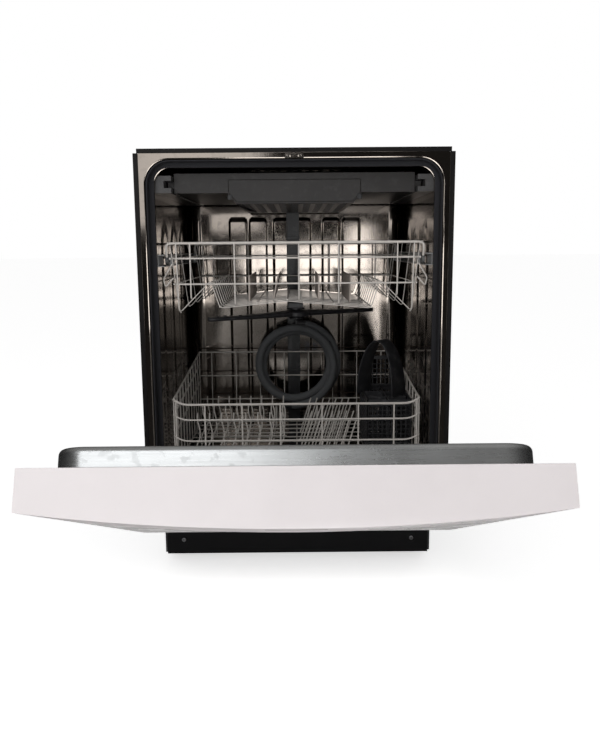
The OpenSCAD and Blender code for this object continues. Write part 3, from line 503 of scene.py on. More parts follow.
@dataclass(frozen=True)
class Moulded(Finish):
    """Moulded plastic: a spark-eroded grain, faint flow clouds and dust or limescale in patches."""

    rough: float = 0.42
    grain: float = 0.9
    depth: float = 0.05
    dust: float = 0.25
    cloud: float = 0.84
    coat: float = 0.0

    def paint(self, shade: Shade) -> None:
        """Grain makes the bump, clouds and dust the colour and the gloss."""
        grain = shade.noise(self.grain, detail=2)
        cloud = shade.noise(60)
        dust = shade.noise(18, detail=6, rough=0.65).between(0.5, 0.72) * self.dust
        tone = shade.blend(cloud.between(0.3, 0.7), self.darker(self.cloud), self.colour)
        pale = tuple(c * 0.6 + 0.12 for c in self.colour)
        rough = self.rough + (grain - 0.5) * 0.12 + dust * 0.3
        shade.dress(Base_Color=shade.blend(dust, tone, pale), Roughness=rough, Coat_Weight=self.coat,
                    Normal=shade.bump(grain, self.depth))


@dataclass(frozen=True)
class Vinyl(Finish):
    """Vinyl coating on wire: satin, faintly wavy from dipping, yellowed and scuffed in spots."""

    def paint(self, shade: Shade) -> None:
        """Dip waves make the bump, age and scuffs the colour."""
        waves = shade.noise(7, detail=2)
        age = shade.noise(45).between(0.35, 0.75)
        scuff = shade.noise(3.5, detail=5).between(0.62, 0.68)
        warm = (self.colour[0] * 0.95, self.colour[1] * 0.86, self.colour[2] * 0.74)
        tone = shade.blend(age * 0.6, self.colour, warm)
        shade.dress(Base_Color=shade.blend(scuff * 0.5, tone, self.darker(0.45)),
                    Roughness=0.3 + waves * 0.12 + scuff * 0.25, Normal=shade.bump(waves, 0.08))


@dataclass(frozen=True)
class Rubber(Finish):
    """Rubber: matt, fine pitted, with a bloom of pale dust and darker handled patches."""

    rough: float = 0.62
    bloom: float = 0.3

    def paint(self, shade: Shade) -> None:
        """Pits make the bump, bloom the colour and the gloss."""
        pits = shade.noise(0.7, detail=3)
        bloom = shade.noise(26, detail=5).between(0.42, 0.72) * self.bloom
        pale = tuple(c * 0.7 + 0.07 for c in self.colour)
        shade.dress(Base_Color=shade.blend(bloom, self.colour, pale),
                    Roughness=self.rough + bloom * 0.25 - pits * 0.08,
                    Normal=shade.bump(pits + shade.noise(9) * 3, 0.05))


@dataclass(frozen=True)
class Felt(Finish):
    """Pressed felt on bitumen: matted fibres, a stamped grid of dimples and grey lint."""

    def paint(self, shade: Shade) -> None:
        """Fibres and dimples make the bump and the colour; the dimples' hollows are painted darker, as painted
        shade.
        """
        fibres = shade.noise(1.4, (6, 1, 1), detail=6, rough=0.75)
        cross = shade.noise(1.4, (1, 1, 6), detail=6, rough=0.75)
        dimple = shade.cells(14, randomness=0.15).between(0.12, 0.3)
        lint = shade.noise(30, detail=6).between(0.45, 0.75)
        pale = tuple(c * 1.6 + 0.03 for c in self.colour)
        tone = shade.blend(lint * 0.5 + (fibres - 0.5) * 0.4, self.darker(0.8), pale)
        # painted shade: each dimple's hollow is coloured darker, for the shade that falls into the recess
        shade.dress(Base_Color=shade.blend(dimple, self.darker(0.6), tone), Roughness=0.92,
                    Normal=shade.bump(fibres * 0.5 + cross * 0.5 + dimple * 1.5, 0.5))


@dataclass(frozen=True)
class Enamel(Finish):
    """Painted steel: an orange-peel skin, a gloss coat and the faintest smudges."""

    rough: float = 0.26
    peel: float = 0.03
    coat: float = 0.25
    shine: float = 0.5

    def paint(self, shade: Shade) -> None:
        """Peel makes the bump, smudges the gloss and a trace of colour."""
        peel = shade.noise(2.6, detail=2)
        smudge = shade.noise(55, detail=5).between(0.45, 0.7)
        fleck = shade.noise(4, detail=4).between(0.68, 0.72)
        tone = shade.blend(smudge * 0.3, self.colour, self.darker(0.96))
        shade.dress(Base_Color=shade.blend(fleck * 0.15, tone, self.darker(0.8)),
                    Roughness=self.rough + smudge * 0.08,
                    Coat_Weight=self.coat - smudge * (self.coat * 0.5), Specular_IOR_Level=self.shine,
                    Normal=shade.bump(peel, self.peel))


@dataclass(frozen=True)
class Smoked(Finish):
    """A smoked window: deep gloss, fine dust and wiped finger marks."""

    def paint(self, shade: Shade) -> None:
        """Finger marks raise the roughness, dust the colour."""
        smear = shade.noise(9, (3, 1, 1), detail=5).between(0.45, 0.75)
        dust = shade.noise(0.8, detail=2).between(0.7, 0.76)
        shade.dress(Base_Color=shade.blend(dust * 0.5, self.colour, (0.2, 0.2, 0.2)),
                    Roughness=0.06 + smear * 0.2,
                    Coat_Weight=0.8 - smear * 0.3, Normal=shade.bump(smear, 0.01))


@dataclass(frozen=True)
class Sieve(Finish):
    """Perforated stainless sheet: a close pattern of round holes with pressed rims."""

    pitch: float = 3.2

    def paint(self, shade: Shade) -> None:
        """Holes are painted near black as painted shade for the dark seen through them, and are rough pits; the
        sheet between them is satin.
        """
        hole = 1 - shade.cells(self.pitch, randomness=0.0).between(0.26, 0.34)
        dull = shade.noise(20).between(0.4, 0.7)
        sheet = shade.blend(dull, self.colour, self.darker(0.7))
        # painted shade: the holes are coloured near black in place of the dark space behind the sheet
        shade.dress(Base_Color=shade.blend(hole, sheet, (0.01, 0.01, 0.01)), Metallic=1 - hole,
                    Roughness=0.3 + dull * 0.15 + hole * 0.4, Normal=shade.bump(1 - hole, 0.5))


@dataclass(frozen=True)
class Board(Finish):
    """A solder-masked board: green over lighter tracks, with tinned pads and dark chips."""

    def paint(self, shade: Shade) -> None:
        """Waves along two ways make the tracks, cells the pads."""
        across = (shade.axis("X") * 2.1 + shade.noise(12) * 9).wave().between(0.55, 0.8)
        down = (shade.axis("Z") * 1.7 + shade.noise(17) * 8).wave().between(0.6, 0.85)
        pad = 1 - shade.cells(6, randomness=0.4).between(0.16, 0.2)
        light = tuple(c * 1.7 + 0.01 for c in self.colour)
        mask = shade.blend(across * 0.6 + down * 0.4, self.colour, light)
        shade.dress(Base_Color=shade.blend(pad, mask, (0.62, 0.6, 0.55)), Metallic=pad,
                    Roughness=0.4 - pad * 0.1,
                    Normal=shade.bump(across + down + pad, 0.08))


TUB_STEEL = Steel("rolled_tub_steel", (0.30, 0.265, 0.235), "tub_steel", rough=0.07, streak=(1, 1, 45))
FLANGE_STEEL = Steel("flange_steel", (0.34, 0.31, 0.28), "tub_steel", rough=0.13, streak=(1, 1, 30),
                     marks=0.2)
LINER_STEEL = Steel("polished_liner_steel", (0.70, 0.72, 0.73), "liner_steel", rough=0.28,
                    streak=(60, 1, 1), marks=0.3)
SEAL_RUBBER = Rubber("seal_rubber", (0.012, 0.012, 0.013), "seal_rubber", rough=0.5)
BLACK_PAINT = Enamel("black_strip_paint", (0.010, 0.009, 0.009), "black_steel", rough=0.34, peel=0.05,
                     coat=0.0, shine=0.12)
JACKET_FELT = Felt("jacket_felt", (0.07, 0.068, 0.066), "jacket_felt")
BASE_BLACK = Moulded("base_black", (0.022, 0.022, 0.024), "base_plastic", rough=0.5)
KICK_BLACK = Enamel("kick_paint", (0.006, 0.006, 0.0065), "base_plastic", rough=0.34, peel=0.05, coat=0.0,
                    shine=0.12)
ZINC = Zinc("zinc_plate", (0.55, 0.55, 0.56), "zinc_steel")
WASH_BLACK = Moulded("wash_black", (0.016, 0.016, 0.018), "black_plastic", rough=0.36)
BASKET_BLACK = Moulded("basket_black", (0.026, 0.026, 0.029), "black_plastic", rough=0.4, dust=0.35)
ACETAL = Moulded("grey_acetal", (0.27, 0.27, 0.27), "rail_plastic", rough=0.34)
MESH_STEEL = Sieve("filter_sheet", (0.5, 0.5, 0.5), "filter_mesh")
CUP_GREY = Moulded("cup_grey", (0.10, 0.10, 0.11), "grey_plastic", rough=0.34)
TRAY_GREY = Moulded("tray_grey", (0.024, 0.021, 0.020), "tray_plastic", rough=0.46, grain=1.4, depth=0.08,
                    dust=0.12)
PUMP_BLUE = Moulded("pump_blue", (0.05, 0.08, 0.12), "pump_plastic", rough=0.5, grain=1.6, depth=0.1)
VALVE_WHITE = Moulded("valve_white", (0.70, 0.70, 0.66), "valve_plastic", rough=0.38)
DOOR_WHITE = Enamel("door_white", (0.74, 0.725, 0.72), "white_enamel")
PANEL_WHITE = Moulded("panel_white", (0.735, 0.69, 0.695), "white_plastic", rough=0.3, grain=1.8,
                      depth=0.02, dust=0.03, cloud=0.975, coat=0.2)
KEY_GREY = Moulded("key_grey", (0.55, 0.55, 0.54), "key_plastic", rough=0.3, depth=0.02, coat=0.3)
WINDOW = Smoked("smoked_window", (0.012, 0.014, 0.017), "display_glass")
BOARD = Board("board_green", (0.02, 0.10, 0.045), "board_green")
CAP_BLUE = Moulded("cap_blue", (0.06, 0.20, 0.42), "rinse_blue", rough=0.28, coat=0.3)
COATED = Vinyl("coated_wire", (0.80, 0.73, 0.69), "coated_wire")
STRIP_BEIGE = Moulded("strip_beige", (0.50, 0.43, 0.38), "coated_wire", rough=0.45, depth=0.04)
CUFF_RUBBER = Rubber("cuff_rubber", (0.02, 0.02, 0.022), "hose_grey", rough=0.45, bloom=0.2)
RAIL_END = Moulded("rail_end", (0.06, 0.058, 0.058), "rail_plastic", rough=0.4)
HOSE_GREY = Rubber("hose_grey", (0.16, 0.158, 0.158), "hose_grey", rough=0.5, bloom=0.35)


# ---------- making objects ----------

BODY_OF = {node: body for body, nodes in frame["record"]["behaviour"]["bodies"].items() for node in nodes}
MADE: list[bpy.types.Object] = []


def attach(piece: bpy.types.Object, finish: Finish, body: str, stands_for: Sequence[str]) -> bpy.types.Object:
    """Links a piece to the scene, dresses it and ties it to its body.

    Args:
        piece: the new object.
        finish: what it is made of.
        body: the body that it rides on.
        stands_for: the CAD nodes that it takes the place of.

    Returns:
        The piece.
    """
    bpy.context.scene.collection.objects.link(piece)
    piece.data.materials.clear()
    piece.data.materials.append(finish.build())
    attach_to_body(piece, body)
    if stands_for:
        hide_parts(*stands_for)
    MADE.append(piece)
    return piece


def settle(work: bmesh.types.BMesh, name: str, crease: float) -> bpy.types.Mesh:
    """Turns a finished bmesh into a mesh whose faces look outward and are smooth up to a crease angle."""
    bmesh.ops.recalc_face_normals(work, faces=work.faces)
    mesh = bpy.data.meshes.new(name)
    work.to_mesh(mesh)
    work.free()
    mesh.shade_smooth()
    mesh.set_sharp_from_angle(angle=math.radians(crease))
    return mesh


def soften(piece: bpy.types.Object, width: float, segments: int = 2) -> None:
    """Rounds a piece's sharp edges with a bevel of width millimetres."""
    bevel = piece.modifiers.new("rounded_edges", "BEVEL")
    bevel.width = width * MM
    bevel.segments = segments
    bevel.limit_method = "ANGLE"
    bevel.angle_limit = math.radians(35)
    bevel.harden_normals = True


def make(name: str, shape: Shape, finish: Finish, body: str, placing: Placing = PLACE.cabinet,
         stands_for: Sequence[str] = (), crease: float = 40.0, bevel: float = 0.0) -> bpy.types.Object:
    """Makes an object from a shape.

    Args:
        name: the new piece's name.
        shape: its points and faces, in millimetres.
        finish: what it is made of.
        body: the body that it rides on.
        placing: what puts its points in the row frame.
        stands_for: the CAD nodes that it takes the place of.
        crease: edges sharper than this angle in degrees stay sharp.
        bevel: width of the rounding of its edges, or nought.

    Returns:
        The new object.
    """
    rough = bpy.data.meshes.new(name + "_rough")
    rough.from_pydata(placing(shape.points).tolist(), [], shape.quads.tolist() + shape.caps)
    work = bmesh.new()
    work.from_mesh(rough)
    bpy.data.meshes.remove(rough)
    piece = bpy.data.objects.new(name, settle(work, name, crease))
    if bevel:
        soften(piece, bevel)
    return attach(piece, finish, body, stands_for)


def refined(node: str, finish: Finish, bevel: float = 0.8, flat: float = 0.3,
            segments: int = 2) -> bpy.types.Object:
    """A finer copy of a CAD node: its points merged, its flat faces whole, its edges rounded.

    Args:
        node: the CAD node.
        finish: what it is made of.
        bevel: width of the rounding in millimetres.
        flat: faces that turn less than this angle in degrees are one face.
        segments: how many stretches a rounding has.

    Returns:
        The new object, which stands for the node.
    """
    work = bmesh.new()
    work.from_mesh(frame["nodes"][node].data)
    bmesh.ops.remove_doubles(work, verts=work.verts, dist=0.02 * MM)
    bmesh.ops.dissolve_limit(work, angle_limit=math.radians(flat), verts=work.verts, edges=work.edges)
    piece = bpy.data.objects.new(node + "_piece", settle(work, node + "_piece", 30))
    soften(piece, bevel, segments)
    return attach(piece, finish, BODY_OF[node], [node])


# ---------- studio ----------


@dataclass
class Studio:
    """A pale floor, soft light and the camera."""

    eye: tuple[float, float, float] = (0.0027, -1.3624, 0.6357)
    pitch: float = 9.51
    roll: float = -0.45
    yaw: float = 0.19
    lens: float = 36.44
    floor_half: float = 60.0
    floor_tone: Colour = (0.93, 0.93, 0.93)
    floor_glow: float = 0.66
    sky: float = 1.0
    sky_on_matt: float = 0.42
    sky_in_gloss: tuple[tuple[float, float], ...] = ((0.0, 0.08), (0.47, 0.02), (0.53, 0.02), (0.68, 0.06),
                                                     (0.85, 0.2), (1.0, 0.3))

    def build(self) -> None:
        """Makes the camera, the floor, the sky and the lights."""
        self.camera()
        self.floor()
        self.world()
        self.lamp("key", (-0.9, -1.9, 2.3), (0.0, 0.1, 0.4), 1.3, 3.4, False)
        self.lamp("low_glow", (0.1, -2.6, 0.2), (0.0, 0.5, 0.4), 0.9, 11.0, True)
        self.lamp("front_strip", (0.42, -2.6, 0.7), (0.0, 0.5, 0.55), 0.16, 0.25, True)
        self.lamp("left_strip", (-1.1, -1.6, 0.9), (0.0, 0.4, 0.5), 0.25, 0.4, True)
        self.lamp("right_strip", (1.3, -1.8, 0.7), (0.0, 0.4, 0.5), 0.2, 0.3, True)
        self.lamp("door_glow", (-0.85, -2.3, 1.45), (-0.05, -0.25, 0.2), 1.6, 12.0, True)

    def camera(self) -> None:
        """Places the camera at eye, turned by yaw, pitch and roll in degrees."""
        pitch, roll, yaw = (math.radians(a) for a in (self.pitch, self.roll, self.yaw))
        ahead = Vector((math.sin(yaw) * math.cos(pitch), math.cos(yaw) * math.cos(pitch), -math.sin(pitch)))
        right = Vector((math.cos(yaw), -math.sin(yaw), 0))
        up = right.cross(ahead)
        right, up = right * math.cos(roll) + up * math.sin(roll), up * math.cos(roll) - right * math.sin(roll)
        data = bpy.data.cameras.new("camera")
        data.lens = self.lens
        data.sensor_width = 36
        eye = bpy.data.objects.new("camera", data)
        matrix = Matrix((right, up, -ahead)).transposed().to_4x4()
        matrix.translation = self.eye
        eye.matrix_world = matrix
        bpy.context.scene.collection.objects.link(eye)
        bpy.context.scene.camera = eye

    def floor(self) -> None:
        """A wide disc: point (r, t) = r * (cos t, sin t), dressed in a faintly clouded pale paint."""
        rays = circle(1, 64)
        radii = np.array([0.02, 1.0, 3.0, self.floor_half])
        points = np.zeros((len(radii), len(rays), 3))
        points[..., :2] = radii[:, None, None] * rays[None]
        shape = loft(points)
        mesh = bpy.data.meshes.new("pale_floor")
        mesh.from_pydata(shape.points.tolist(), [], shape.quads.tolist() + shape.caps[:1])
        disc = bpy.data.objects.new("pale_floor", mesh)
        bpy.context.scene.collection.objects.link(disc)
        shade = Shade("floor_paint")
        cloud = shade.noise(700, detail=2)
        shade.dress(Base_Color=shade.blend(cloud, self.floor_tone,
                                           tuple(c * 0.985 for c in self.floor_tone)), Roughness=0.85,
                    Emission_Color=self.floor_tone, Emission_Strength=self.floor_glow)
        mesh.materials.append(shade.material)
        disc.visible_glossy = False

    def world(self) -> None:
        """A white sky to look at and to light matt skins, and a dim studio, darkest at eye level,
        for polished ones to mirror."""
        world = bpy.data.worlds.new("sky")
        world.use_nodes = True
        tree = world.node_tree
        back = tree.nodes["Background"]
        path = tree.nodes.new("ShaderNodeLightPath")
        place = tree.nodes.new("ShaderNodeTexCoord")
        parts = tree.nodes.new("ShaderNodeSeparateXYZ")
        height = tree.nodes.new("ShaderNodeMapRange")
        height.inputs["From Min"].default_value = -1
        ramp = tree.nodes.new("ShaderNodeValToRGB")
        Shade.set_stops(ramp.color_ramp,
                        [(at, (tone, tone * 0.97, tone * 0.94)) for at, tone in self.sky_in_gloss])
        tree.links.new(place.outputs["Generated"], parts.inputs[0])
        tree.links.new(parts.outputs["Z"], height.inputs["Value"])
        tree.links.new(height.outputs[0], ramp.inputs[0])
        matt = tree.nodes.new("ShaderNodeMix")
        matt.data_type = "RGBA"
        tree.links.new(path.outputs["Is Glossy Ray"], matt.inputs["Factor"])
        matt.inputs[6].default_value = (self.sky_on_matt,) * 3 + (1,)
        tree.links.new(ramp.outputs[0], matt.inputs[7])
        seen = tree.nodes.new("ShaderNodeMix")
        seen.data_type = "RGBA"
        tree.links.new(path.outputs["Is Camera Ray"], seen.inputs["Factor"])
        tree.links.new(matt.outputs[2], seen.inputs[6])
        seen.inputs[7].default_value = (self.sky,) * 3 + (1,)
        tree.links.new(seen.outputs[2], back.inputs["Color"])
        bpy.context.scene.world = world
        bpy.context.scene.view_settings.view_transform = "Standard"

    @staticmethod
    def lamp(name: str, place: Sequence[float], aim: Sequence[float], size: float, power: float,
             mirrored: bool) -> None:
        """A square soft light at place that faces aim, and that polished skins mirror if mirrored."""
        data = bpy.data.lights.new(name, "AREA")
        data.size = size
        data.energy = power
        lamp = bpy.data.objects.new(name, data)
        lamp.location = place
        lamp.visible_glossy = mirrored
        lamp.rotation_euler = (Vector(aim) - Vector(place)).to_track_quat("-Z", "Y").to_euler()
        bpy.context.scene.collection.objects.link(lamp)


# ---------- hose ----------


@dataclass
class Hose:
    """The loose drain hose: a coil of two layers that stands on edge in the lower rack."""

    d: float = 19.0
    centre: tuple[float, float, float] = (0.0, 418.0, 352.0)
    outer: float = 101.3
    inner: float = 81.4
    layer: float = 10.0
    spread: float = 5.0
    start: float = -0.30
    turns: float = 2.56
    crossing: tuple[float, float] = (1.06, 1.50)
    steps: int = 40
    cuff: float = 26.0

    def route(self) -> Array:
        """The centreline: an inward spiral in the front layer, a crossing, an outward one behind.

        Returns:
            Points in millimetres, with radius r(t) and depth y(t) at the turn t.
        """
        t = np.linspace(0, self.turns, int(self.turns * self.steps) + 1)
        a, b = self.crossing
        r = np.interp(t, [0, a, b, self.turns], [self.outer, self.inner, self.inner, self.outer])
        side = 2 * smooth((t - a) / (b - a)) - 1
        angle = 2 * math.pi * (t + self.start)
        cx, cy, cz = self.centre
        return np.stack([cx + self.spread * side + r * np.cos(angle), cy + self.layer * side,
                         cz + r * np.sin(angle)], axis=1)

    def build(self) -> None:
        path = self.route()
        fine = self.finer(path, 2.6)
        ripple = 1 - 0.045 * (np.arange(len(fine)) % 2)
        ring = circle(self.d / 2, 20)
        hose = sweep(fine, ring, (0, 1, 0))
        middle = np.repeat(fine, len(ring), axis=0)
        hose.points = middle + (hose.points - middle) * np.repeat(ripple, len(ring))[:, None]
        body = make("drain_hose", hose, HOSE_GREY, "lower_rack", stands_for=["hose_coil"], crease=60)
        cuffs = [self.sleeve("hose_cuff_a", path[:5][::-1]), self.sleeve("hose_cuff_b", path[-5:])]

    @staticmethod
    def finer(path: Array, step: float) -> Array:
        """The path with its points step millimetres apart, by straight interpolation on a fine line."""
        run = np.concatenate([[0], np.cumsum(np.linalg.norm(np.diff(path, axis=0), axis=1))])
        at = np.linspace(0, run[-1], int(run[-1] / step) + 1)
        return np.stack([np.interp(at, run, path[:, k]) for k in range(3)], axis=1)

    def sleeve(self, name: str, path: Array) -> bpy.types.Object:
        """A ribbed rubber cuff over the last stretch of the hose: radius swells and ends in a lip."""
        run = self.finer(path, 1.2)
        run = run[-int(self.cuff / 1.2):]
        swell = np.where(np.arange(len(run)) % 6 < 3, 1.0, 0.96)
        swell[-4:] = 0.9
        ring = circle(self.d / 2 + 0.5, 24)
        shape = sweep(run, ring, (0, 1, 0))
        middle = np.repeat(run, len(ring), axis=0)
        shape.points = middle + (shape.points - middle) * np.repeat(swell, len(ring))[:, None]
        return make(name, shape, CUFF_RUBBER, "lower_rack", crease=50)


# ---------- tub ----------


@dataclass
class Tub:
    """The steel tub: a flanged shell, a pressed back, a dished floor and the door seal."""

    flange_half: float = 286.0
    flange_top: float = 808.0
    opening_half: float = 275.0
    opening_top: float = 797.0
    opening_r: float = 45.0
    half: float = 262.0
    top: float = 784.0
    r: float = 32.0
    sheet: float = 1.6
    step: float = 25.0
    depth: float = 500.0
    floor_z: float = 150.0
    foot_z: float = 138.4
    ledge_h: float = 16.0
    ledge_w: float = 30.0
    seal_t: float = 4.0
    seal_y: float = 12.6
    seal_half: float = 10.4
    lip_half: float = 268.4
    lip_y: float = 23.6
    sump_r: float = 100.2
    sump_y: float = 205.0
    rib_ys: tuple[float, ...] = (118.0, 232.0, 346.0)
    rib_half: float = 40.0
    proud: float = 1.8
    column_xs: tuple[float, ...] = (-166.0, -116.0, -56.0, -6.0, 66.0, 116.0)
    column_w: float = 46.0
    column_z: tuple[float, float] = (180.0, 708.0)

    def build(self) -> None:
        """Makes the shell, the back, the floor and the seal."""
        self.shell()
        self.back()
        self.floor()
        self.seal()

    def section(self) -> list[tuple[float, float]]:
        """The shell's closed section as pairs of a depth and an offset outward from the tub's wall."""
        o, f = self.opening_half - self.half, self.flange_half - self.half
        s, d, r = self.sheet, self.depth, self.r
        front = [(0, f), (0, o + 3.0), (0, o + 1.2), (0.35, o + 0.35), (1.2, o), (self.step - s - 1.5, o),
                        (self.step - s - 0.4, o - 0.4), (self.step - s, o - 1.5), (self.step - s, 1.5),
                        (self.step - s + 0.4, 0.4), (self.step - s + 1.5, 0)]
        wall = [(y, 0.0) for y in np.linspace(self.step + 4, d - r, 66)]
        turn = [(d - r + r * math.sin(a), -(r - r * math.cos(a))) for a in np.linspace(0.12, math.pi / 2, 12)]
        behind = [(d + s, -r)] + [(d - r + (r + s) * math.sin(a), -(r - (r + s) * math.cos(a)))
                                  for a in np.linspace(math.pi / 2 - 0.12, 0, 8)]
        outside = [(self.step + s, s), (self.step, s + 1), (self.step, o + s), (s, o + s), (s, f)]
        return front + wall + turn + behind + outside

    def shell(self) -> None:
        """The shell: outlines of the doorway, one for each point of the section, skinned together.
        Pressed ribs stand inward on its sides and a field on its top, as soft steps of the
        distance to an upright capsule and to a rounded rectangle."""
        loops = []
        for y, out in self.section():
            half, top = self.half + out, self.top + out
            corner = self.r + out
            if out > 20:
                half, top, corner = self.flange_half, self.flange_top, 1.5
            line = doorway(half, self.foot_z, top, max(corner, 0.2), 14, 64)
            loops.append(np.stack([line[:, 0], np.full(len(line), y), line[:, 1]], axis=1))
        grid = np.array(loops)
        x, y, z = grid[..., 0], grid[..., 1], grid[..., 2]
        inner = (y > self.step + 3) & (y < self.depth - self.r) & (np.abs(np.abs(x) - self.half) < 0.01)
        past = np.maximum(0, np.maximum(z - 640, 250 - z))
        for middle in self.rib_ys:
            gap = self.rib_half - np.hypot(y - middle, past)
            grid[..., 0] -= np.sign(x) * np.where(inner, self.proud * smooth(gap / 7), 0)
        ceiling = (y > self.step + 3) & (y < self.depth - self.r) & (np.abs(z - self.top) < 0.01)
        field_gap = self.inset(x, y - 245, 150, 165, 40)
        grid[..., 2] -= np.where(ceiling, 1.2 * smooth(field_gap / 8), 0)
        make("tub_shell_pressing", loft(grid.transpose(1, 0, 2)), TUB_STEEL, "cabinet",
             stands_for=["tub_shell"], crease=38)

    @staticmethod
    def inset(x: Array, y: Array, half_x: float, half_y: float, r: float) -> Array:
        """How far points lie inside a rounded rectangle about the origin; negative outside."""
        qx, qy = np.abs(x) - half_x + r, np.abs(y) - half_y + r
        return r - np.hypot(np.maximum(qx, 0), np.maximum(qy, 0)) - np.minimum(np.maximum(qx, qy), 0)

    def back(self) -> None:
        """The back: depth(x, z) is the back plane less a soft step for each rounded column."""
        half = self.half - self.r + 0.5
        x = np.linspace(-half, half, 300)[None, :]
        z = np.linspace(self.foot_z + 10, self.top - self.r + 0.5, 170)[:, None]
        low, high = self.column_z
        rise = np.zeros((z.shape[0], x.shape[1]))
        for left in self.column_xs:
            middle = left + self.column_w / 2
            gap = self.inset(x - middle, z - (low + high) / 2, self.column_w / 2, (high - low) / 2, 9.0)
            rise = np.maximum(rise, smooth(gap / 4.5))
        grid = np.stack(np.broadcast_arrays(x, self.depth - 0.05 - 1.95 * rise, z), axis=-1)
        shape = relief(grid, 1, self.depth + self.sheet)
        make("tub_back_pressing", shape, TUB_STEEL, "cabinet", stands_for=["tub_back"], crease=50)

    def floor(self) -> None:
        """The floor: point (t, a) goes from the sump's rim to the tub's edge along the ray a, and
        its height is the floor's plus the ledges' soft steps less a dish about the sump."""
        a = np.linspace(0, 2 * math.pi, 240, endpoint=False)
        ray = np.stack([np.cos(a), np.sin(a)], axis=1)
        low, high = np.array([-self.half, self.sheet]), np.array([self.half, self.depth])
        centre = np.array([0.0, self.sump_y])
        reach = np.minimum(np.where(ray > 0, (high - centre), (centre - low))
                           / np.maximum(np.abs(ray), 1e-6), 1e6).min(1)
        t = np.linspace(0, 1, 60)
        r = self.sump_r + (reach[:, None] - self.sump_r) * t[None, :]
        x, y = centre[0] + r * ray[:, :1], centre[1] + r * ray[:, 1:]
        ledge = self.ledge_h * smooth((np.abs(x) - self.half + self.ledge_w + 3)
                                      / 6) * smooth((y - self.step) / 5)
        dish = 3.2 * (1 - smooth((r - self.sump_r) / 70)) + 3 * (1 - smooth((r - self.sump_r) / 4))
        top = np.stack([x, y, self.floor_z + ledge - dish * (ledge < 0.1)], axis=-1)
        under = top[:, ::-1].copy()
        under[..., 2] = self.floor_z - self.sheet - 6.5
        pan = loft(np.concatenate([top, under], axis=1), ring=True)
        lip = slabs([[-self.opening_half, 0, self.foot_z]], [[self.opening_half, self.sheet, self.floor_z]])
        make("tub_floor_pressing", Shape.joined([pan, lip]), TUB_STEEL, "cabinet",
             stands_for=["tub_floor"], crease=50)

    def seal(self) -> None:
        """The door seal: a bulb and the flat lip behind it, carried along the doorway."""
        inset = self.seal_t / 2 + 0.05
        line = doorway(self.opening_half - inset, self.floor_z, self.opening_top - inset,
                       self.opening_r - inset, 14, 24)
        path = np.stack([line[:, 0], np.full(len(line), self.seal_y), line[:, 1]], axis=1)
        t = np.linspace(0, 2 * math.pi, 36, endpoint=False)
        swell = 1 - 0.12 * np.exp(-((t - math.pi) / 0.22) ** 2) - 0.10 * np.exp(-((t - 2.2) / 0.18) ** 2)
        section = np.stack([np.cos(t) * swell, np.sin(t) * swell], axis=1)
        section = np.sign(section) * np.abs(section) ** 0.7 * [self.seal_half, self.seal_t / 2]
        bulb = sweep(path, section, (0, 1, 0))
        line = doorway(self.lip_half, self.floor_z, self.opening_top - self.opening_half + self.lip_half,
                       self.r + 2, 14, 24)
        path = np.stack([line[:, 0], np.full(len(line), self.lip_y), line[:, 1]], axis=1)
        lip = sweep(path, rounded_rect(2.2, 12.4, 0.9, 4), (0, 1, 0))
        make("door_seal_bulb", Shape.joined([bulb, lip]), SEAL_RUBBER, "cabinet", stands_for=["door_seal"],
             crease=60)


def relief(grid: Array, axis: int, level: float) -> Shape:
    """A closed plate: a skin over a grid of points, walls round its edge and a flat back at level.

    Args:
        grid: the skin's points, as (rows, columns, 3).
        axis: the axis that the back stands upright on.
        level: the back's place along it.

    Returns:
        The closed shape.
    """
    n, m = grid.shape[:2]
    index = np.arange(n * m).reshape(n, m)
    quads = np.stack([index[:-1, :-1], index[:-1, 1:], index[1:, 1:], index[1:, :-1]], axis=-1).reshape(-1, 4)
    edge = np.concatenate([index[0, :-1], index[:-1, -1], index[-1, :0:-1], index[:0:-1, 0]])
    flat = grid.reshape(-1, 3)[edge].copy()
    flat[:, axis] = level
    ring = n * m + np.arange(len(edge))
    walls = np.stack([edge, np.roll(edge, -1), np.roll(ring, -1), ring], axis=1)
    return Shape(np.concatenate([grid.reshape(-1, 3), flat]), np.concatenate([quads, walls]), [ring.tolist()])


# ---------- surround ----------


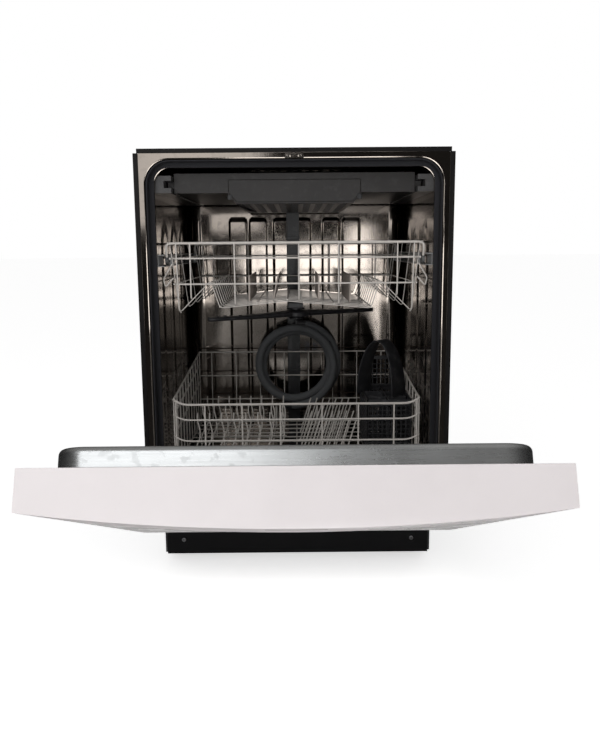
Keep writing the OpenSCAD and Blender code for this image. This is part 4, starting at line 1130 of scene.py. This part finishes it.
@dataclass
class Surround:
    """Posts, top strip, striker, toe kick and jacket round the tub."""

    striker_z: float = 802.5
    wire: float = 2.6

    def build(self) -> None:
        """Makes the pieces that frame the tub."""
        for node in ("front_posts", "top_strip"):
            refined(node, BLACK_PAINT, 0.9)
        refined("insulation_jacket", JACKET_FELT, 3.0, segments=3)
        refined("toe_kick", KICK_BLACK, 1.0)
        self.screws()
        self.striker()

    def screws(self) -> None:
        """Pan heads with a cross recess in front of the toe kick."""
        low, high = PLACE.size("toe_kick_screws")
        refined("toe_kick_screws", ZINC, 0.9)
        x, z, y = (high[0] - low[0]) / 2 - 4.2, (low[2] + high[2]) / 2, low[1]
        bars = [(s * x + dx, s * x - dx, dz) for s in (-1, 1) for dx, dz in ((2.4, 0.5), (0.5, 2.4))]
        lows = [[b, y - 0.02, z - dz] for a, b, dz in bars]
        highs = [[a, y + 1.0, z + dz] for a, b, dz in bars]
        make("kick_screw_slots", slabs(lows, highs), KICK_BLACK, "cabinet")

    def striker(self) -> None:
        """A pressed plate with two rivets and a bent wire loop that the hook catches."""
        z = self.striker_z
        plate = np.stack([np.column_stack([o[:, 0], np.full(len(o), y), o[:, 1] + z])
                          for y, o in ((0, rounded_rect(36, 10, 2.5)), (-1.2, rounded_rect(36, 10, 2.5)),
                                       (-2, rounded_rect(34.4, 8.4, 2.0)))])
        loop = wire([(-7.5, 0, z), (-7.5, -20.5, z), (7.5, -20.5, z), (7.5, 0, z)], self.wire, (0, 0, 1), 5)
        rivets = [lathe([(0.1, 0), (2.6, 0), (2.4, -0.8), (1.4, -1.4), (0.1, -1.5)], (x, -2, z), "Y", 20)
                  for x in (-13, 13)]
        make("striker_plate", Shape.joined([loft(plate), loop, *rivets]), FLANGE_STEEL, "cabinet",
             stands_for=["latch_striker"])


# ---------- door ----------


@dataclass
class Door:
    """The door: a bowed control panel, a flat outer panel and a pressed steel liner."""

    rim_half: float = 295.2
    rim: tuple[float, float] = (111.2, 805.0)
    rim_y: float = -6.0
    field_half: float = 270.0
    field: tuple[float, float] = (170.0, 791.0)
    field_y: float = 20.0
    field_r: float = 40.0
    roll: float = 7.0
    hole_half: float = 84.0
    hole: tuple[float, float] = (347.9, 497.9)
    notch: tuple[float, float] = (15.0, 795.0)
    hinge_cut: tuple[float, float] = (268.0, 136.0)
    sheet: float = 1.2

    def build(self) -> None:
        """Makes the liner, the panels, the controls, the dispenser and the latch."""
        self.liner()
        refined("door_panel", DOOR_WHITE, 1.2)
        refined("control_panel", PANEL_WHITE, 1.6, flat=0.05, segments=3)
        for node in ("power_button", "program_button_1", "program_button_2", "start_button"):
            refined(node, KEY_GREY, 0.6, flat=0.05)
        refined("display_window", WINDOW, 0.4, flat=0.05)
        refined("control_board", BOARD, 0.4)
        for node in ("hinge_arm_left", "hinge_arm_right", "latch_hook"):
            refined(node, ZINC, 0.5)
        refined("latch_housing", BASE_BLACK, 0.8)
        refined("dispenser", CUP_GREY, 1.2, segments=3)
        refined("dispenser_lid", CUP_GREY, 0.8)
        refined("rinse_cap", CAP_BLUE, 1.0)
        self.lid_ribs()

    def outline(self, half: float, low: float, high: float, r: float, y: float,
                notched: bool = False) -> Array:
        """A rounded rectangle at depth y, with points beside the latch notch and the hinge corners,
        which are cut away if notched."""
        line = rounded_rect(2 * half, high - low, max(r, 0.3), 10)
        at = 11
        n = self.notch[0]
        top = np.array([[x, (high - low) / 2] for x in (n + 0.3, n, -n, -n - 0.3)])
        cut, cut_top = self.hinge_cut
        edge = min(cut, half - max(r, 0.3) - 0.5)
        foot = np.array([[x, (low - high) / 2] for x in (-edge - 0.3, -edge, edge, edge + 0.3)])
        line = np.concatenate([line[:at], top, line[at:3 * at], foot, line[3 * at:]])
        z = line[:, 1] + (low + high) / 2
        if notched:
            z = np.where(np.abs(line[:, 0]) <= n, np.minimum(z, self.notch[1]), z)
            z = np.where(np.abs(line[:, 0]) > cut, np.maximum(z, cut_top), z)
        return np.column_stack([line[:, 0], np.full(len(line), y), z])

    def liner(self) -> None:
        """The liner: rounded outlines from the dispenser's hole over the raised field's rolled edge
        and its wall to the rim, then back behind them, skinned into one closed sheet."""
        low, high = self.field
        edge, y1, y0, s = self.roll, self.field_y, self.rim_y, self.sheet
        hole = (self.hole_half, *self.hole)
        rings = [self.grown(hole, 0, 4, y1 - 6), self.grown(hole, 0, 4, y1 - 1.4),
                 self.grown(hole, 0.4, 4.4, y1 - 0.4),
                 self.grown(hole, 1.4, 5, y1)]
        body = (self.field_half, low, high)
        rings.append(self.grown(body, -edge - 14, self.field_r - 20, y1))
        for a in np.linspace(0, math.pi / 2, 8):
            out = -edge + edge * math.sin(a)
            rings.append(self.grown(body, out, self.field_r + out, y1 - edge + edge * math.cos(a)))
        for a in np.linspace(0, math.pi / 2, 5):
            out = 3 - 3 * math.cos(a)
            rings.append(self.grown(body, out, self.field_r + out, y0 + 3 - 3 * math.sin(a)))
        frame_size = (self.rim_half, *self.rim)
        rings += [self.grown(frame_size, -2, 5, y0, True), self.grown(frame_size, -0.3, 6, y0 - 0.3, True),
                  self.grown(frame_size, 0, 6, y0 - s, True), self.grown(frame_size, -3, 5, y0 - s, True)]
        rings += [self.grown(body, 2, self.field_r, y0 - s), self.grown(body, -s, self.field_r - s, y0 + 2),
                  self.grown(body, -s, self.field_r - s, y1 - edge),
                  self.grown(body, -edge - s, self.field_r - 8, y1 - s),
                  self.grown(hole, 2, 5, y1 - s), self.grown(hole, s, 5, y1 - 6)]
        make("door_liner_pressing", loft(np.array(rings), ring=True), LINER_STEEL, "door", PLACE.door,
             ["door_liner"], 35)

    def grown(self, box: tuple[float, float, float], out: float, r: float, y: float,
              notched: bool = False) -> Array:
        """The outline of a box (half width, low, high) grown by out millimetres, at depth y."""
        half, low, high = box
        return self.outline(half + out, low - out, high + out, r, y, notched)

    def lid_ribs(self) -> None:
        """Low grip ribs on the dispenser's lid."""
        low, high = PLACE.closed_size("dispenser_lid")
        xs = np.linspace(low[0] + 12, low[0] + 40, 6)
        z = high[2] - 16
        lows = [[x - 0.9, high[1] - 0.5, z - 9] for x in xs]
        highs = [[x + 0.9, high[1] + 0.9, z + 9] for x in xs]
        make("lid_grip_ribs", slabs(lows, highs), CUP_GREY, "dispenser_lid", PLACE.door, bevel=0.5)


# ---------- racks ----------


class Side(Enum):
    """The two sides of the machine."""

    LEFT = -1
    RIGHT = 1

    def plate(self, inner: float, outer: float, low: tuple[float, float], high: tuple[float, float]) -> Shape:
        """A flat plate on this side, from one distance off the middle to another.

        Args:
            inner: the distance of its inner face.
            outer: the distance of its outer face.
            low: its lowest depth and height.
            high: its highest depth and height.

        Returns:
            The plate.
        """
        ends = sorted((self.value * inner, self.value * outer))
        return slabs([[ends[0], *low]], [[ends[1], *high]])

    def pin(self, start: float, y: float, z: float) -> Shape:
        """A wheel's axle pin with a chamfered end, lying along X, that starts this far off the middle."""
        profile = [(0.1, 0), (2.9, 0), (2.9, 12.2), (2.4, 12.8), (0.1, 12.8)]
        return lathe([(r, self.value * (start + h)) for r, h in profile], (0, y, z), "X", 24)


@dataclass
class UpperRack:
    """The upper rack: round coated wires, two ridges in its floor, beige cup strips and wheels."""

    half: float = 244.0
    front: float = 45.0
    rear: float = 460.0
    top: float = 646.0
    low: float = 505.0
    floor_z: float = 521.0
    step: float = 150.1
    corner: tuple[float, float] = (225.0, 513.0)
    profile: tuple[tuple[float, float], ...] = ((-225, 513), (-164, 574), (-147, 521), (-16, 534),
                                                (147, 519), (164, 574), (225, 513))
    ribs: int = 10
    wing_every: int = 3
    rib_d: float = 1.9
    thick: float = 4.8
    thin: float = 3.0
    rails: tuple[float, float] = (617.0, 568.0)
    uprights: tuple[float, ...] = (-202.0, -117.0, 7.0, 84.0, 197.0)
    strips: tuple[float, ...] = (-95.0, -45.0, 48.0, 112.0)
    axles: tuple[float, float] = (90.0, 440.0)
    axle_z: float = 613.0
    corner_upright: tuple[float, float, float] = (229.0, 226.0, 224.0)
    runners: tuple[float, ...] = (-164, -147, -75, -16, 75, 147, 164)

    def build(self) -> None:
        """Makes the frame, the floor, the strips, the brackets, the wheels and the feed tube."""
        self.frame_wires()
        self.sides()
        self.floor()
        self.cup_strips()
        for node in ("upper_wheels_front", "upper_wheels_rear"):
            refined(node, ACETAL, 0.8)
        refined("upper_feed_tube", WASH_BLACK, 1.6, segments=3)

    def floor_height(self, x: float) -> float:
        """Height of the floor's ribs at x, by straight interpolation between their bends."""
        return float(np.interp(x, *np.transpose(self.profile)))

    def side_x(self, z: float) -> float:
        """How far the leaning sides stand from the middle at height z."""
        x, low = self.corner
        return x + (self.half - 3.5 - x) * (z - low) / (self.top - low)

    def frame_wires(self) -> None:
        """Front and rear: a thick top wire whose ends hook down, two cross wires and the uprights."""
        wires = []
        h = self.half
        for y, back in ((self.front - 2.3, 1), (self.rear + 2.3, -1)):
            hook = [(-h - 3, y + 5 * back, self.top - 26), (-h - 4, y, self.top - 12), (-h - 2, y, self.top)]
            wires.append(wire(hook + [(-x, py, z) for x, py, z in hook[::-1]], self.thick, (0, 1, 0.001),
                              12, 10))
            for z in self.rails:
                end = [(-self.side_x(z) - 2, y + 26 * back, z), (-self.side_x(z) - 1, y, z)]
                wires.append(wire(end + [(-x, py, pz) for x, py, pz in end[::-1]], self.thin + 0.4,
                                  (0, 0, 1), 16, 10))
            for x in self.uprights:
                foot = self.floor_height(x)
                run = [(x, y, self.top), (x, y, foot + 12), (x, y + 3 * back, foot + 4),
                       (x, y + 16 * back, foot + 3)]
                wires.append(wire(run, self.thin, (1, 0, 0), 8))
            for side in Side:
                head, knee, foot = (side.value * x for x in self.corner_upright)
                run = [(head, y, self.top), (knee, y, self.low + 14), (foot, y + 8 * back, self.low + 8)]
                wires.append(wire(run, self.thin, (0.001, 1, 0), 8))
        make("upper_rack_end_wires", Shape.joined(wires), COATED, "upper_rack",
             stands_for=["upper_rack_ends"], crease=60)

    def sides(self) -> None:
        """Sides: the top wires, two rails a side, the bent stops and the wheels' brackets and axles."""
        wires, plates = [], []
        for side in Side:
            s = side.value
            for z, d in ((self.top, 4.2), (self.rails[0], 4.2), (self.rails[1], self.thin)):
                rail = s * (self.side_x(z) + d / 2 + self.thin / 2)
                wires.append(wire([(rail, self.front - 1, z), (rail, self.rear + 1, z)], d, (1, 0, 0)))
            y = self.front + 3
            stop = [(s * 238, y, 606), (s * 255.5, y, 578), (s * 252, y, 562), (s * 236, y, 580)]
            wires.append(wire(stop, 3.0, (0, 1, 0), 5, 10))
            for axle in self.axles:
                low, high = (axle - 12, self.axle_z - 10), (axle + 12, self.axle_z + 10)
                plates.append(side.plate(self.half - 3.5, self.half + 3, low, high))
                plates.append(side.pin(self.half, axle, self.axle_z))
        make("upper_rack_side_wires", Shape.joined(wires), COATED, "upper_rack",
             stands_for=["upper_rack_sides"], crease=60)
        make("upper_wheel_brackets", Shape.joined(plates), ACETAL, "upper_rack", bevel=0.7)

    def floor(self) -> None:
        """Floor: every rib crosses from ridge to ridge, and some run on down the wings and up the sides."""
        wires = []
        brim = self.side_x(self.top)
        outline = [(-brim, self.top - 2), *self.profile, (brim, self.top - 2)]
        for i, y in enumerate(np.linspace(self.front + 2.3, self.rear - 2.3, self.ribs + 1)):
            whole = i % self.wing_every == 0 or i == self.ribs
            run = [(x, y, z) for x, z in (outline if whole else outline[2:-2])]
            wires.append(wire(run, self.rib_d, (0, 1, 0), 8))
        for x in self.runners:
            z = self.floor_height(x) + (-1 if abs(x) > self.step else 1) * self.thin * 0.9
            ends = [(x, self.front + 0.5, z), (x, self.rear - 0.5, z)]
            wires.append(wire(ends, self.thin, (1, 0, 0)))
        make("upper_rack_floor_wires", Shape.joined(wires), COATED, "upper_rack",
             stands_for=["upper_rack_floor"], crease=60)

    def cup_strips(self) -> None:
        """Cup strips: slats whose upper edge is scalloped by a sine along the rack."""
        y = np.linspace(self.front + 90, self.rear - 60, 90)
        parts = []
        for x, tilt in zip(self.strips, (0.0, 9.0, 0.0, 2.0)):
            top = 581 - 4.5 * np.abs(np.sin((y - y[0]) * math.pi / 44.2))
            low = np.full(len(y), self.floor_height(x) + 2.4)
            t = 1.5
            edges = ((x - t, low), (x + t, low), (x + t + tilt, top - 1), (x + tilt, top),
                     (x - t + tilt, top - 1))
            loops = np.stack([np.column_stack([np.full(len(y), place), y, z]) for place, z in edges], axis=1)
            parts.append(loft(loops))
        make("cup_strips", Shape.joined(parts), STRIP_BEIGE, "upper_rack", crease=45)


@dataclass
class LowerRack:
    """The lower rack: rims that rise to the rear, a wire floor, two kinds of tines and wheels."""

    half: float = 244.0
    front: float = 45.0
    rear: float = 460.0
    floor_z: float = 200.0
    rims: tuple[float, ...] = (330.0, 299.0, 256.0)
    lift: float = 10.0
    rise: float = 38.0
    rear_zs: tuple[float, ...] = (378.0, 318.0, 258.0)
    uprights: tuple[float, ...] = (-182.0, -108.0, -32.0, 51.0, 123.0, 194.0)
    ribs: int = 10
    frame_d: float = 4.6
    wire_d: float = 3.4
    tine_d: float = 3.0
    tine_bends: tuple[tuple[float, float], ...] = ((0, 0), (0, 22), (9, 42), (9, 60), (4, 78), (5, 95))
    left_rows: tuple[float, ...] = (105.0, 195.0, 285.0)
    right_rows: tuple[float, ...] = (90.0, 170.0, 250.0, 315.0)
    axles: tuple[float, float] = (85.0, 420.0)
    axle_z: float = 183.3
    cradle: tuple[float, float, float] = (50.0, 250.0, 418.0)

    def build(self) -> None:
        """Makes the frame, the sides, the floor, the tines, the brackets and the wheels."""
        self.ends()
        self.sides()
        self.floor()
        self.tines()
        for node in ("lower_wheels_front", "lower_wheels_rear"):
            refined(node, ACETAL, 1.4, segments=3)

    def rim_z(self, y: float) -> float:
        """Height of the rim's side wires at depth y."""
        return self.rims[0] + self.lift + self.rise * (y - self.front) / (self.rear - self.front)

    def ends(self) -> None:
        """Front wires with ends that bend up to the corners, their uprights, and the rear's."""
        wires = []
        h, y = self.half, self.front - 2.3
        for z, d in zip(self.rims, (4.8, 3.6, 3.6)):
            end = [(-h, y + 22, z + self.lift + 2), (-h - 0.5, y, z + self.lift), (-h + 20, y, z)]
            wires.append(wire(end + [(-x, py, pz) for x, py, pz in end[::-1]], d, (0, 0.4, 1), 13, 10))
        for x in self.uprights:
            run = [(x, y, self.rims[0]), (x, y, self.floor_z + 10), (x, y + 3, self.floor_z + 3),
                   (x, y + 20, self.floor_z + 2.6)]
            wires.append(wire(run, self.wire_d, (1, 0, 0), 8))
        for side in Side:
            x = side.value * (h - 4.6)
            wires.append(wire([(x, y, self.rims[0] + 8), (x, y, self.floor_z)], self.wire_d, (1, 0, 0)))
        y = self.rear + 2.3
        for z in self.rear_zs:
            wires.append(wire([(-h - 1, y, z), (h + 1, y, z)], self.wire_d, (0, 0, 1)))
        for i in np.arange(-3.5, 4):
            wires.append(wire([(i * h / 4, y, self.rear_zs[0]), (i * h / 4, y, self.floor_z)],
                              self.wire_d * 0.85, (1, 0, 0)))
        make("lower_rack_end_wires", Shape.joined(wires), COATED, "lower_rack",
             stands_for=["lower_rack_ends"], crease=60)

    def sides(self) -> None:
        """Sides: three rims that rise to the rear, uprights, a runner and the wheels' legs."""
        wires, plates = [], []
        for side in Side:
            s = side.value
            x = s * self.half
            for drop in (self.rims[0] - z for z in self.rims):
                ends = [(x, y + 1, self.rim_z(y) - drop) for y in (self.front, self.rear)]
                wires.append(wire(ends, self.frame_d, (1, 0, 0)))
            for y in np.linspace(self.front + 2.3, self.rear - 2.3, self.ribs + 1):
                wires.append(wire([(x, y, self.rim_z(y)), (x, y, self.floor_z - 4.5)], self.wire_d,
                                  (1, 0, 0)))
            wires.append(wire([(x, self.front, self.floor_z - 2.3), (x, self.rear, self.floor_z - 2.3)],
                              self.frame_d, (1, 0, 0)))
            for axle in self.axles:
                low, high = (axle - 13, self.axle_z - 7), (axle + 13, self.floor_z + 8)
                plates.append(side.plate(self.half - 2, self.half + 3, low, high))
                plates.append(side.pin(self.half, axle, self.axle_z))
        make("lower_rack_side_wires", Shape.joined(wires), COATED, "lower_rack",
             stands_for=["lower_rack_sides"], crease=60)
        make("lower_wheel_legs", Shape.joined(plates), ACETAL, "lower_rack", bevel=1.0)

    def floor(self) -> None:
        """Floor: cross wires over wires that run to the rear."""
        half = self.half - 2.3
        wires = [wire([(-half, y, self.floor_z), (half, y, self.floor_z)], self.wire_d, (0, 0, 1))
                 for y in np.linspace(self.front + 2.3, self.rear - 2.3, self.ribs + 1)]
        wires += [wire([(i * half / 4.5, self.front, self.floor_z - 3.2),
                        (i * half / 4.5, self.rear, self.floor_z - 3.2)], self.wire_d, (1, 0, 0))
                  for i in range(-4, 5)]
        make("lower_rack_floor_wires", Shape.joined(wires), COATED, "lower_rack",
             stands_for=["lower_rack_floor"], crease=60)

    def tines(self) -> None:
        """Tines: jogged ones on the left, leaning ones on the right, and the raised cradle wires."""
        rail = self.floor_z + self.wire_d + self.tine_d / 2
        parts = []
        for y in self.left_rows:
            parts.append(wire([(-216, y, rail), (-24, y, rail)], self.tine_d, (0, 0, 1)))
            for x in np.arange(-210, -27, 25.0):
                run = [(x + jog, y, rail + rise) for jog, rise in self.tine_bends]
                parts.append(wire(run, self.tine_d, (0, 1, 0), 7))
        lean = math.radians(17)
        for y in self.right_rows:
            parts.append(wire([(4, y, rail), (103, y, rail)], self.tine_d, (0, 0, 1)))
            for x in np.arange(8, 102, 15.0):
                top = (x + 87 * math.sin(lean), y, rail + 87 * math.cos(lean))
                parts.append(wire([(x, y, rail), top], self.tine_d, (0, 1, 0)))
        x, z, y = self.cradle
        for side in Side:
            cx = side.value * x
            run = [(cx, y - 28, self.floor_z + 2), (cx, y - 28, z), (cx, y + 28, z),
                   (cx, y + 28, self.floor_z + 2)]
            parts.append(wire(run, self.frame_d, (1, 0, 0), 7))
        make("lower_tine_wires", Shape.joined(parts), COATED, "lower_rack", stands_for=["lower_tines"],
             crease=60)


# ---------- cutlery ----------


@dataclass
class CutleryTray:
    """The sliding cutlery tray: a shallow tray with a middle trough, an apron, combs and clips."""

    half: float = 229.0
    front: float = 57.0
    rear: float = 452.0
    shelf_z: float = 743.4
    trough_z: float = 723.4
    trough_half: float = 112.0
    apron_half: float = 127.0

    def build(self) -> None:
        """Makes the tray, its apron, its combs and its clips, and the rails."""
        refined("cutlery_tray", TRAY_GREY, 1.4, segments=3)
        self.apron()
        self.combs()
        self.clips()
        for node in ("tray_rail_left", "tray_rail_right"):
            refined(node, RAIL_END, 0.9)
        for node in ("upper_rail_left", "upper_rail_right"):
            refined(node, ACETAL, 0.5)

    def apron(self) -> None:
        """The raised middle of the front: an outline with cut lower corners, set proud and chamfered."""
        line = np.array([[-self.apron_half, 765], [-self.apron_half, 741], [-self.apron_half + 15, 722.6],
                         [self.apron_half - 15, 722.6], [self.apron_half, 741], [self.apron_half, 765]])
        middle = np.array([0, 744.0])
        loops = [np.column_stack([p[:, 0], np.full(len(p), y), p[:, 1]])
                 for y, p in ((57.5, line), (55.6, line), (54.4, middle + (line - middle) * [0.99, 0.95]))]
        make("tray_apron", loft(np.array(loops)), TRAY_GREY, "cutlery_tray", bevel=0.5)

    def combs(self) -> None:
        """Combs: rows of upright teeth on the shelves and low ribs across the trough."""
        lows, highs = [], []
        for side in Side:
            for x in (158.0, 202.0):
                for y in np.arange(self.front + 18, self.rear - 14, 13.0):
                    lows.append([side.value * x - 9, y - 1.1, self.shelf_z - 1])
                    highs.append([side.value * x + 9, y + 1.1, self.shelf_z + 17])
        for y in np.arange(self.front + 55, self.rear - 30, 30.0):
            lows.append([-self.trough_half, y - 1, self.trough_z - 1])
            highs.append([self.trough_half, y + 1, self.trough_z + 5])
        make("tray_combs", slabs(lows, highs), TRAY_GREY, "cutlery_tray", bevel=0.5)

    def clips(self) -> None:
        """Small dark catches below the apron's corners."""
        lows = [[s * 124 - 4.5, 53.8, 727] for s in (-1, 1)]
        highs = [[s * 124 + 4.5, 60.5, 737] for s in (-1, 1)]
        make("tray_catches", slabs(lows, highs), WASH_BLACK, "cutlery_tray", bevel=1.0)


@dataclass
class CutleryBasket:
    """The cutlery basket: lattice walls round six cells, a flap and a broad strap handle."""

    wall: float = 2.0
    pitch: float = 9.6
    rim: float = 13.0
    strap_w: float = 56.0
    strap_h: float = 116.0
    strap_half: float = 44.0
    strap_turn: float = 38.0
    flap_w: float = 62.0
    flap_h: float = 66.0

    def build(self) -> None:
        """Makes the walls, the floor, the dividers, the flap and the handle."""
        (x0, y0, z0), (x1, y1, z1) = PLACE.size("cutlery_basket")
        walls = [self.lattice(0, x0 + 1, y0, y1, z0, z1), self.lattice(0, x1 - 1, y0, y1, z0, z1),
                 self.lattice(1, y0 + 1, x0, x1, z0, z1), self.lattice(1, y1 - 1, x0, x1, z0, z1)]
        middle = (x0 + x1) / 2
        walls.append(self.lattice(0, middle, y0 + 2, y1 - 2, z0, z1 - 4))
        for j in (1, 2):
            walls.append(self.lattice(1, y0 + j * (y1 - y0) / 3, x0 + 2, x1 - 2, z0, z1 - 4))
        walls.append(self.lattice(2, z0 + 1, x0, x1, y0, y1, rim=5.0))
        make("basket_lattice", Shape.joined(walls), BASKET_BLACK, "cutlery_basket",
             stands_for=["cutlery_basket"], bevel=0.35)
        self.handle((middle - 8, (y0 + y1) / 2, z1 - 4))
        self.flap(x0 + 7, y1 - 6, z1)

    def lattice(self, axis: int, at: float, a0: float, a1: float, b0: float, b1: float,
                rim: float = 0.0) -> Shape:
        """A flat lattice: upright bars at the pitch, cross bars at twice it and solid bands at its ends.

        Args:
            axis: the axis that it stands upright on.
            at: its middle along that axis.
            a0: where it starts along the next axis.
            a1: where it ends along the next axis.
            b0: its lower edge.
            b1: its upper edge.
            rim: width of its end bands, or nought for the basket's own.

        Returns:
            The bars as one shape.
        """
        band = rim or self.rim
        t = self.wall / 2
        bars = []
        for a in np.linspace(a0 + 2.2, a1 - 2.2, int((a1 - a0) / self.pitch) + 1):
            bars.append((a - 1.15, a + 1.15, b0, b1, t * 0.8))
        for b in np.linspace(b0 + band, b1 - band, int((b1 - b0 - 2 * band) / self.pitch) + 1)[1:-1]:
            bars.append((a0 + 1, a1 - 1, b - 0.9, b + 0.9, t * 0.7))
        bars += [(a0, a1, b0, b0 + band * 0.6, t), (a0, a1, b1 - band, b1, t), (a0, a0 + 3, b0, b1, t),
                 (a1 - 3, a1, b0, b1, t)]
        order = [i for i in range(3) if i != axis]
        lows, highs = np.zeros((len(bars), 3)), np.zeros((len(bars), 3))
        data = np.array(bars)
        lows[:, order[0]], highs[:, order[0]] = data[:, 0], data[:, 1]
        lows[:, order[1]], highs[:, order[1]] = data[:, 2], data[:, 3]
        lows[:, axis], highs[:, axis] = at - data[:, 4], at + data[:, 4]
        return slabs(lows, highs)

    def handle(self, foot: Sequence[float]) -> None:
        """The strap: a rounded flat section carried over a half ellipse, narrower at its crown,
        turned so that its left leg stands behind its right one."""
        t = np.linspace(0, math.pi, 60)
        turn = math.radians(self.strap_turn)
        run = np.array([math.cos(turn), -math.sin(turn), 0])
        across = np.array([math.sin(turn), math.cos(turn), 0])
        aside, rise = self.strap_half * np.cos(t), self.strap_h * np.sin(t)
        path = np.array(foot) + aside[:, None] * run + rise[:, None] * [0, 0, 1]
        section = rounded_rect(self.strap_w, 2.8, 1.3, 4)
        shape = sweep(path, section, tuple(across))
        reach = (shape.points - np.repeat(path, len(section), axis=0)) @ across
        waist = 0.3 * np.sin(t) ** 2
        shape.points -= (reach * np.repeat(waist, len(section)))[:, None] * across
        make("basket_strap", shape, BASKET_BLACK, "cutlery_basket", stands_for=["basket_handle"], crease=50)

    def flap(self, x: float, y: float, z: float) -> None:
        """The lid flap that stands open at the basket's rear, hinged on the rim at height z."""
        lattice = self.lattice(1, y, x, x + self.flap_w, z - 2, z + self.flap_h, rim=8.0)
        lean = (lattice.points[:, 2] - z) * 0.1
        lattice.points[:, 1] += np.maximum(lean, 0)
        make("basket_flap", lattice, BASKET_BLACK, "cutlery_basket", bevel=0.35)


# ---------- wash system ----------


@dataclass
class SprayArm:
    """A spray arm: a blade that swells to its hub, with raised jets, lying at an angle."""

    node: str
    z: float
    turn: float
    y: float = 252.5
    reach: float = 214.5
    width: float = 41.0
    hub_r: float = 29.5
    bore_r: float = 10.2
    height: float = 14.0
    jets: tuple[float, ...] = (-196, -172, -141, -104, -66, 58, 92, 128, 160, 188)

    def build(self) -> None:
        """Makes the blade as cross sections w(s), h(s) along its length, the hub as a turned profile."""
        s = np.linspace(-1, 1, 90)
        width = self.width / 2 * (0.74 + 0.26
                                  * np.exp(-(s / 0.35) ** 2)) * np.sqrt(np.clip(1 - s**16, 0.03, 1))
        height = self.height * (0.62 + 0.34 * np.exp(-(s / 0.4) ** 2))
        t = np.linspace(0, 2 * math.pi, 28, endpoint=False)
        c, q = np.cos(t), np.sin(t)
        across = np.sign(c) * np.abs(c) ** 0.6
        up = np.sign(q) * np.abs(q) ** 0.75
        loops = np.stack(np.broadcast_arrays(s[:, None] * self.reach,
                                             width[:, None] * across + 3.0 * np.sin(s * math.pi)[:, None]
                                             * (1 - s[:, None] ** 2),
                                             height[:, None] / 2 * (up + 1)), axis=-1)
        loops[..., 0] += 1.5 * across[None] * np.where(np.abs(s[:, None]) > 0.97, 0.2, 0)
        gap = self.bore_r + 5
        left, right = loops[loops[:, 0, 0] < -gap], loops[loops[:, 0, 0] > gap]
        hub = lathe([(self.bore_r, 0.3), (self.hub_r - 2, 0.3), (self.hub_r, 2), (self.hub_r, 9),
                     (self.hub_r - 3, 12),
                     (self.bore_r + 7, 12.6), (self.bore_r + 5, 13.9), (self.bore_r, 13.9)], (0, 0, 0),
                     "Z", 56)
        top = self.height * 0.66
        spouts = [lathe([(0.2, top - 3), (4.4, top - 3), (3.8, top + 0.9), (2.4, top + 1.2),
                         (1.7, top - 0.6), (0.2, top - 0.6)],
                        (x, (6 if i % 2 else -5), 0), "Z", 18) for i, x in enumerate(self.jets)]
        shape = Shape.joined([loft(left), loft(right), hub, *spouts])
        shape.points[:, 2] = np.clip(shape.points[:, 2], 0.05, self.height - 0.05)
        shape = shape.turned(math.radians(self.turn), (0, 0, 0))
        shape.points += [0, self.y, self.z]
        make(self.node + "_blade", shape, WASH_BLACK, BODY_OF[self.node], stands_for=[self.node], crease=40)


@dataclass
class WashSystem:
    """Spray arms, feed duct, sump, filters, pumps, valve, base and feet."""

    pump_fins: int = 9

    def build(self) -> None:
        """Makes the pieces that move and hold the water."""
        SprayArm("upper_spray_arm", 486.0, 32.0).build()
        SprayArm("lower_spray_arm", 172.0, 0.0).build()
        refined("feed_duct", WASH_BLACK, 2.2, segments=3)
        self.duct_ribs()
        refined("sump", BASE_BLACK, 1.2)
        refined("filter_screen", MESH_STEEL, 0.3)
        refined("filter_cup", CUP_GREY, 0.8)
        refined("base_tray", BASE_BLACK, 1.5)
        refined("wash_pump", PUMP_BLUE, 2.0, segments=3)
        refined("drain_pump", PUMP_BLUE, 1.4, segments=3)
        refined("inlet_valve", VALVE_WHITE, 1.2)
        self.fins("wash_pump", "X", 42.0, 0.62)
        self.fins("drain_pump", "X", 24.0, 0.5)
        refined("hinge_brackets", ZINC, 0.5)
        for node in ("foot_front_left", "foot_front_right", "foot_rear"):
            refined(node, BASE_BLACK, 1.2)

    def duct_ribs(self) -> None:
        """Clamping bands across the feed duct."""
        low, high = PLACE.size("feed_duct")
        zs = (230.0, 330.0, 430.0, 560.0, 660.0)
        lows = [[low[0] - 1.2, high[1] - 27.2, z - 5] for z in zs]
        highs = [[high[0] + 1.2, high[1] - 1, z + 5] for z in zs]
        make("duct_bands", slabs(lows, highs), WASH_BLACK, "cabinet", bevel=1.2)

    def fins(self, node: str, axis: str, r: float, share: float) -> None:
        """Cooling fins: a turned profile whose radius steps between a core's and the fins'."""
        low, high = PLACE.size(node)
        length = (high[0] - low[0]) * share
        x0 = low[0] + (high[0] - low[0]) * 0.2
        at = np.repeat(np.linspace(0, length, self.pump_fins * 2), 2)[1:-1]
        radius = np.where((np.arange(len(at)) // 2) % 2 == 0, r + 0.2, r - 1.0)
        profile = [(r - 3, at[0])] + list(zip(radius, at)) + [(r - 3, at[-1])]
        centre = (x0, low[1] + r if node == "wash_pump" else 435.0, 27.0 + r if node == "wash_pump" else 51.0)
        make(node + "_fins", lathe(profile, centre, axis, 56), PUMP_BLUE, "cabinet", crease=35)


def main() -> None:
    """Builds the studio and each sub-assembly in order, and logs what each made."""
    logging.basicConfig(level=logging.INFO, format="%(message)s")
    Studio().build()
    for part in (Hose(), Tub(), Surround(), Door(), UpperRack(), LowerRack(), CutleryTray(),
                 CutleryBasket(), WashSystem()):
        before = len(MADE)
        part.build()
        for piece in MADE[before:]:
            LOG.info("%s: %s, %d faces", type(part).__name__, piece.name, len(piece.data.polygons))


if __name__ == "__main__":
    main()
